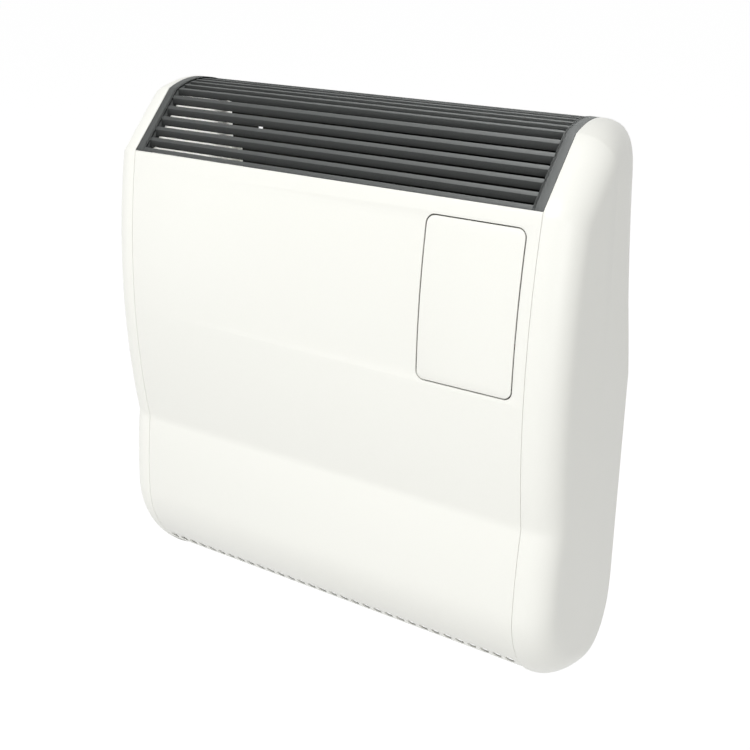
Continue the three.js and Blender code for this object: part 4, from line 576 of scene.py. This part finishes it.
SOFT_EDGES = {
    "control_tray": 0.4, "power_rocker": 0.4, "fan_rocker": 0.4, "reset_button": 0.5,
    "flame_lens": 0.1, "fault_lens": 0.1, "door_magnet": 0.4,
}
fittings = {node: softened_copy(node, width) for node, width in SOFT_EDGES.items()}
print(len(fittings), "fittings softened")

# %% [markdown]
# Every finish starts from a colour written as on a screen, which one function turns into the
# linear numbers that a shader wants. Another small function adds a node to a material with its
# settings and its links. Two more copy a finish and either paint shade inside it or paint a mark on
# it.

# %% Material helpers
def colour(hexadecimal):
    """An sRGB hex colour as linear numbers."""
    parts = [int(hexadecimal[at:at + 2], 16) / 255 for at in (1, 3, 5)]
    linear = [part / 12.92 if part <= 0.04045 else ((part + 0.055) / 1.055) ** 2.4
              for part in parts]
    return (*linear, 1)


def add(tree, kind, sockets=None, **settings):
    """A node with its settings, and its sockets set to values or linked to other nodes' outputs."""
    node = tree.nodes.new(kind)
    for setting, value in settings.items():
        setattr(node, setting, value)
    for socket, value in (sockets or {}).items():
        if isinstance(value, bpy.types.NodeSocket):
            tree.links.new(value, node.inputs[socket])
        else:
            node.inputs[socket].default_value = value
    return node


def finish(name, light, dark, grain, depth, roughness, metallic=0, ior=1.5, spread=0.06,
           detail=4, **more):
    """A finish of two close colours, mottled at a grain in millimetres, with a fine relief."""
    material = bpy.data.materials.new(name)
    material.use_nodes = True
    tree = material.node_tree
    tree.nodes.clear()
    where = add(tree, "ShaderNodeTexCoord").outputs["Object"]
    mottle = add(tree, "ShaderNodeTexNoise", {
        "Vector": where, "Scale": 1000 / grain, "Detail": detail})
    mixed = add(tree, "ShaderNodeMixRGB", {
        "Fac": mottle.outputs["Fac"], "Color1": colour(light), "Color2": colour(dark)})
    uneven = add(tree, "ShaderNodeMapRange", {
        "Value": mottle.outputs["Fac"], "To Min": roughness - spread, "To Max": roughness + spread})
    relief = add(tree, "ShaderNodeBump", {
        "Height": mottle.outputs["Fac"], "Distance": depth / 1000, "Strength": 1.0})
    shader = add(tree, "ShaderNodeBsdfPrincipled", {
        "Base Color": mixed.outputs["Color"],
        "Roughness": uneven.outputs["Result"], "Normal": relief.outputs["Normal"],
        "Metallic": float(metallic), **more})
    if not metallic:
        shader.inputs["IOR"].default_value = ior
    add(tree, "ShaderNodeOutputMaterial", {"Surface": shader.outputs["BSDF"]})
    return material


def painted_shade_inside(material, name, depth, shade_colour):
    """A copy of a finish with painted shade: darker on the faces that lie further from the wall than
    a depth.
    """
    shaded_copy = material.copy()
    shaded_copy.name = name
    tree = shaded_copy.node_tree
    shader = next(node for node in tree.nodes if node.type == "BSDF_PRINCIPLED")
    unshaded = shader.inputs["Base Color"].links[0].from_socket
    at = add(tree, "ShaderNodeSeparateXYZ", {0: add(tree, "ShaderNodeTexCoord").outputs["Object"]})
    inside = add(tree, "ShaderNodeMath", {0: at.outputs["Y"], 1: -depth / 1000},
                 operation="LESS_THAN")
    shown = add(tree, "ShaderNodeMixRGB", {
        "Fac": inside.outputs[0], "Color1": unshaded, "Color2": colour(shade_colour)})
    tree.links.new(shown.outputs[0], shader.inputs["Base Color"])
    return shaded_copy


def with_pointer(material, name, low, high, paint):
    """A copy of a finish with a painted mark between two corners in Blender's metres."""
    marked = material.copy()
    marked.name = name
    tree = marked.node_tree
    shader = next(node for node in tree.nodes if node.type == "BSDF_PRINCIPLED")
    plain = shader.inputs["Base Color"].links[0].from_socket
    at = add(tree, "ShaderNodeSeparateXYZ", {0: add(tree, "ShaderNodeTexCoord").outputs["Object"]})
    mask = 1.0
    for axis, start, end in zip("XYZ", low, high):
        near = add(tree, "ShaderNodeMath", {
            0: at.outputs[axis], 1: (start + end) / 2, 2: (end - start) / 2}, operation="COMPARE")
        mask = add(tree, "ShaderNodeMath", {0: mask, 1: near.outputs[0]},
                   operation="MULTIPLY").outputs[0]
    shown = add(tree, "ShaderNodeMixRGB", {"Fac": mask, "Color1": plain, "Color2": colour(paint)})
    tree.links.new(shown.outputs[0], shader.inputs["Base Color"])
    return marked


# %% [markdown]
# The casing is white ABS and powder-coated sheet in one warm white, with a satin skin whose faint
# waves are a millimetre or two apart. The grille and the knob are anthracite ABS from a mould with
# a fine spark-eroded grain.

# %% Finishes
# Warm white with a satin skin: the lamps show as wide, soft bands and not as spots.
white_casing = finish("white_satin_coating", "#F6F6F0", "#F3F3EC", 1.6, 0.004, 0.36, spread=0.03)
# A dry, fine grain: upper edges read grey, faces nearly black, and nothing glares.
anthracite = finish("anthracite_moulded_abs", "#3E403F", "#2D2E2E", 0.9, 0.05, 0.6,
                    **{"Specular IOR Level": 0.2})
# Powder coat on inner sheet: a little duller than the casing, with a slight orange peel.
white_enamel = finish("white_powder_coat_on_steel", "#F2F2EC", "#ECECE5", 1.2, 0.006, 0.45)
# Pale grey mould texture, so that the recess stays quiet behind its dark controls.
grey_plastic = finish("grey_moulded_abs", "#D6D6D0", "#CFCFC8", 0.8, 0.02, 0.5)
# Nearly black and even: keys, switch bodies and the magnet's holder.
black_plastic = finish("black_nylon", "#2A2B2D", "#222325", 0.8, 0.02, 0.5)
# A clean, saturated red with a soft shine, which marks the reset button.
red_plastic = finish("red_acetal", "#B63228", "#A82C23", 0.8, 0.01, 0.35)
# Lenses are smooth enough to keep one small, sharp highlight each.
green_lens = finish("green_clear_acrylic", "#5FBF4E", "#57B347", 0.6, 0.002, 0.12, spread=0.02)
red_lens = finish("red_clear_acrylic", "#CF3B2E", "#C23529", 0.6, 0.002, 0.12, spread=0.02)
# Lacquer over tracks: a green that varies in patches of a few millimetres.
circuit_board = finish("green_solder_mask", "#2F6E40", "#2A6239", 3.0, 0.02, 0.4)
# Zinc flowers about 9 mm wide, seen as patches of different shine.
galvanised = finish("galvanised_steel_dull_spangle", "#A9ADAF", "#94989A", 9.0, 0.004, 0.5,
                    metallic=1, spread=0.1, detail=1)
# A bright line along every round, a little broken by a fine grain.
bright_steel = finish("turned_bright_steel", "#C4C6C8", "#B4B6B8", 0.5, 0.004, 0.25, metallic=1)
# Straw to brown clouds a centimetre wide, from the heat of the burner.
stainless = finish("heat_tinted_stainless_steel", "#B9AE9E", "#9E9184", 12.0, 0.004, 0.32,
                   metallic=1)
# Plain zinc on motor cans: darker and more even than the bent sheet.
motor_steel = finish("dark_zinc_motor_can", "#7C8083", "#6E7275", 1.5, 0.006, 0.4, metallic=1)
# The skin of a casting: rough, pale and without clear reflections.
cast_aluminium = finish("as_cast_aluminium", "#BFC1C3", "#A9ACAE", 1.4, 0.05, 0.52, metallic=1)
# Yellow metal with a satin shine, on the union and the injector.
brass = finish("machined_brass", "#D2B26A", "#C2A25C", 0.6, 0.004, 0.3, metallic=1)
# A warm shine with faint stains some millimetres across.
copper = finish("drawn_copper_tube", "#D09470", "#B87C5A", 7.0, 0.003, 0.3, metallic=1)
# Off-white glaze, glossy and almost even.
white_ceramic = finish("glazed_alumina", "#EDE9DE", "#E6E1D5", 2.0, 0.003, 0.2, spread=0.03)
# Dull black that swallows the light round the cable.
black_rubber = finish("black_rubber", "#262627", "#1F1F20", 0.6, 0.02, 0.7)
# The wall plate keeps its plain finish behind and has painted shade within, a near-black colour on
# its inner faces, so the gaps between the slats stay dark.
back_steel = painted_shade_inside(galvanised, "galvanised_steel_painted_shade_inside", 0.7, "#2A2A29")
# The knob has one white line, painted on the upper end of its bar.
knob_finish = with_pointer(anthracite, "anthracite_abs_with_white_pointer",
                           place(KNOB_X - 0.8, 178, KNOB_HEIGHT + 6),
                           place(KNOB_X + 0.8, 175, KNOB_HEIGHT + 15.5), "#E8E8E4")
print(len(bpy.data.materials), "materials")

# %% [markdown]
# Now each piece takes its finish, rides on its body and stands for its CAD node. The CAD nodes
# whose shape is right stay, and only their material slots change.

# %% Dressing
FINISHES = {
    "white_casing": white_casing, "white_enamel": white_enamel, "anthracite_plastic": anthracite,
    "grey_plastic": grey_plastic, "black_plastic": black_plastic, "red_plastic": red_plastic,
    "green_lens": green_lens, "red_lens": red_lens, "circuit_board": circuit_board,
    "galvanised_steel": galvanised, "bright_steel": bright_steel, "stainless_steel": stainless,
    "motor_steel": motor_steel, "cast_aluminium": cast_aluminium, "brass": brass, "copper": copper,
    "white_ceramic": white_ceramic, "black_rubber": black_rubber,
}
slot_of = {part["node"]: part["material_slot"] for part in frame["record"]["subparts"]}
body_of = {node: body for body, nodes in frame["record"]["behaviour"]["bodies"].items()
           for node in nodes}


def dress(piece, node):
    """Gives a piece the finish and the body of the CAD node that it stands for."""
    piece.data.materials.clear()
    piece.data.materials.append(FINISHES[slot_of[node]])
    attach(piece, body_of[node])
    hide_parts(node)


casing = {"front_panel": front_panel, "end_cap_right": cap_right, "end_cap_left": cap_left,
          "top_grille": top_grille, "control_door": control_door, "temperature_knob": knob,
          **fittings}
for node, piece in casing.items():
    dress(piece, node)
for node, shown in frame["nodes"].items():
    if node not in casing:
        for holder in shown.material_slots:
            holder.material = FINISHES[slot_of[node]]
frame["nodes"]["back_plate"].material_slots[0].material = back_steel
knob.data.materials[0] = knob_finish
print(len(casing), "pieces dressed,", len(frame["nodes"]) - len(casing), "CAD nodes finished")

# %% [markdown]
# The heater hangs in a bright studio. A large soft lamp stands far in front and above, so that it
# lights the belly nearly as much as the top. Two low ones fill the end caps, and the world gives an
# even light from all round, dimmer behind, which rounds the casing's rear edges. A flagged lamp
# skims over the grille alone: it draws the slats' upper edges and, between them, the side frame on
# the left. The floor lies far below, as under a wall, and the camera sees a plain white ground.

# %% Floor, world and lamps
def seen_straight(tree):
    """1 for what the camera sees straight, in gloss or through glass, and 0 for the rest."""
    ray = add(tree, "ShaderNodeLightPath")
    either = add(tree, "ShaderNodeMath", {
        0: ray.outputs["Is Camera Ray"], 1: ray.outputs["Is Glossy Ray"]}, operation="MAXIMUM")
    return add(tree, "ShaderNodeMath", {
        0: either.outputs[0], 1: ray.outputs["Is Transmission Ray"]},
        operation="MAXIMUM").outputs[0]


bpy.ops.object.select_all(action="DESELECT")
bpy.ops.mesh.primitive_plane_add(size=60, location=(0, 0, -1.45))
floor = bpy.context.object
floor.name = "floor"
pale = bpy.data.materials.new("pale_floor")
pale.use_nodes = True
tree = pale.node_tree
tree.nodes.clear()
painted = add(tree, "ShaderNodeBsdfDiffuse", {"Color": colour("#E6E6E6")})
shadowed = add(tree, "ShaderNodeBsdfDiffuse", {"Color": colour("#B0B0B0")})
glow = add(tree, "ShaderNodeEmission", {"Color": colour("#FFFFFF"), "Strength": 0.8})
bright = add(tree, "ShaderNodeAddShader", {0: shadowed.outputs[0], 1: glow.outputs[0]})
shown = add(tree, "ShaderNodeMixShader", {
    0: seen_straight(tree), 1: painted.outputs[0], 2: bright.outputs[0]})
add(tree, "ShaderNodeOutputMaterial", {"Surface": shown.outputs[0]})
floor.data.materials.append(pale)

world = bpy.data.worlds.new("studio")
bpy.context.scene.world = world
world.use_nodes = True
tree = world.node_tree
tree.nodes.clear()
way = add(tree, "ShaderNodeSeparateXYZ", {0: add(tree, "ShaderNodeTexCoord").outputs["Generated"]})
dimmer = add(tree, "ShaderNodeMapRange", {
    "Value": way.outputs["Y"], "From Min": -0.2, "From Max": 0.6, "To Min": 0.58, "To Max": 0.22})
even = add(tree, "ShaderNodeBackground", {
    "Color": colour("#FFFFFF"), "Strength": dimmer.outputs[0]})
white = add(tree, "ShaderNodeBackground", {"Color": colour("#FFFFFF"), "Strength": 1.0})
shown = add(tree, "ShaderNodeMixShader", {
    0: seen_straight(tree), 1: even.outputs[0], 2: white.outputs[0]})
add(tree, "ShaderNodeOutputWorld", {"Surface": shown.outputs[0]})


def lamp(name, location, size, power):
    """A square area lamp that points at the heater."""
    light = bpy.data.lights.new(name, "AREA")
    light.size = size
    light.energy = power
    holder = bpy.data.objects.new(name, light)
    bpy.context.collection.objects.link(holder)
    holder.location = location
    holder.rotation_euler = (-Vector(location)).to_track_quat("-Z", "Y").to_euler()
    return holder


lamp("key", (-0.15, -3.9, 4.1), 2.2, 149)
lamp("fill", (2.2, -1.8, 0.2), 1.4, 12)
lamp("left_fill", (-2.4, -1.7, 0.1), 1.4, 5)
skim = lamp("skim", (0.45, -0.1, 1.4), 0.5, 46)
flagged = bpy.data.collections.new("reached by the skim lamp")
for piece in (top_grille, frame["nodes"]["side_frame_left"]):
    flagged.objects.link(piece)
skim.light_linking.receiver_collection = flagged
print("lamps", [item.name for item in bpy.data.lights])
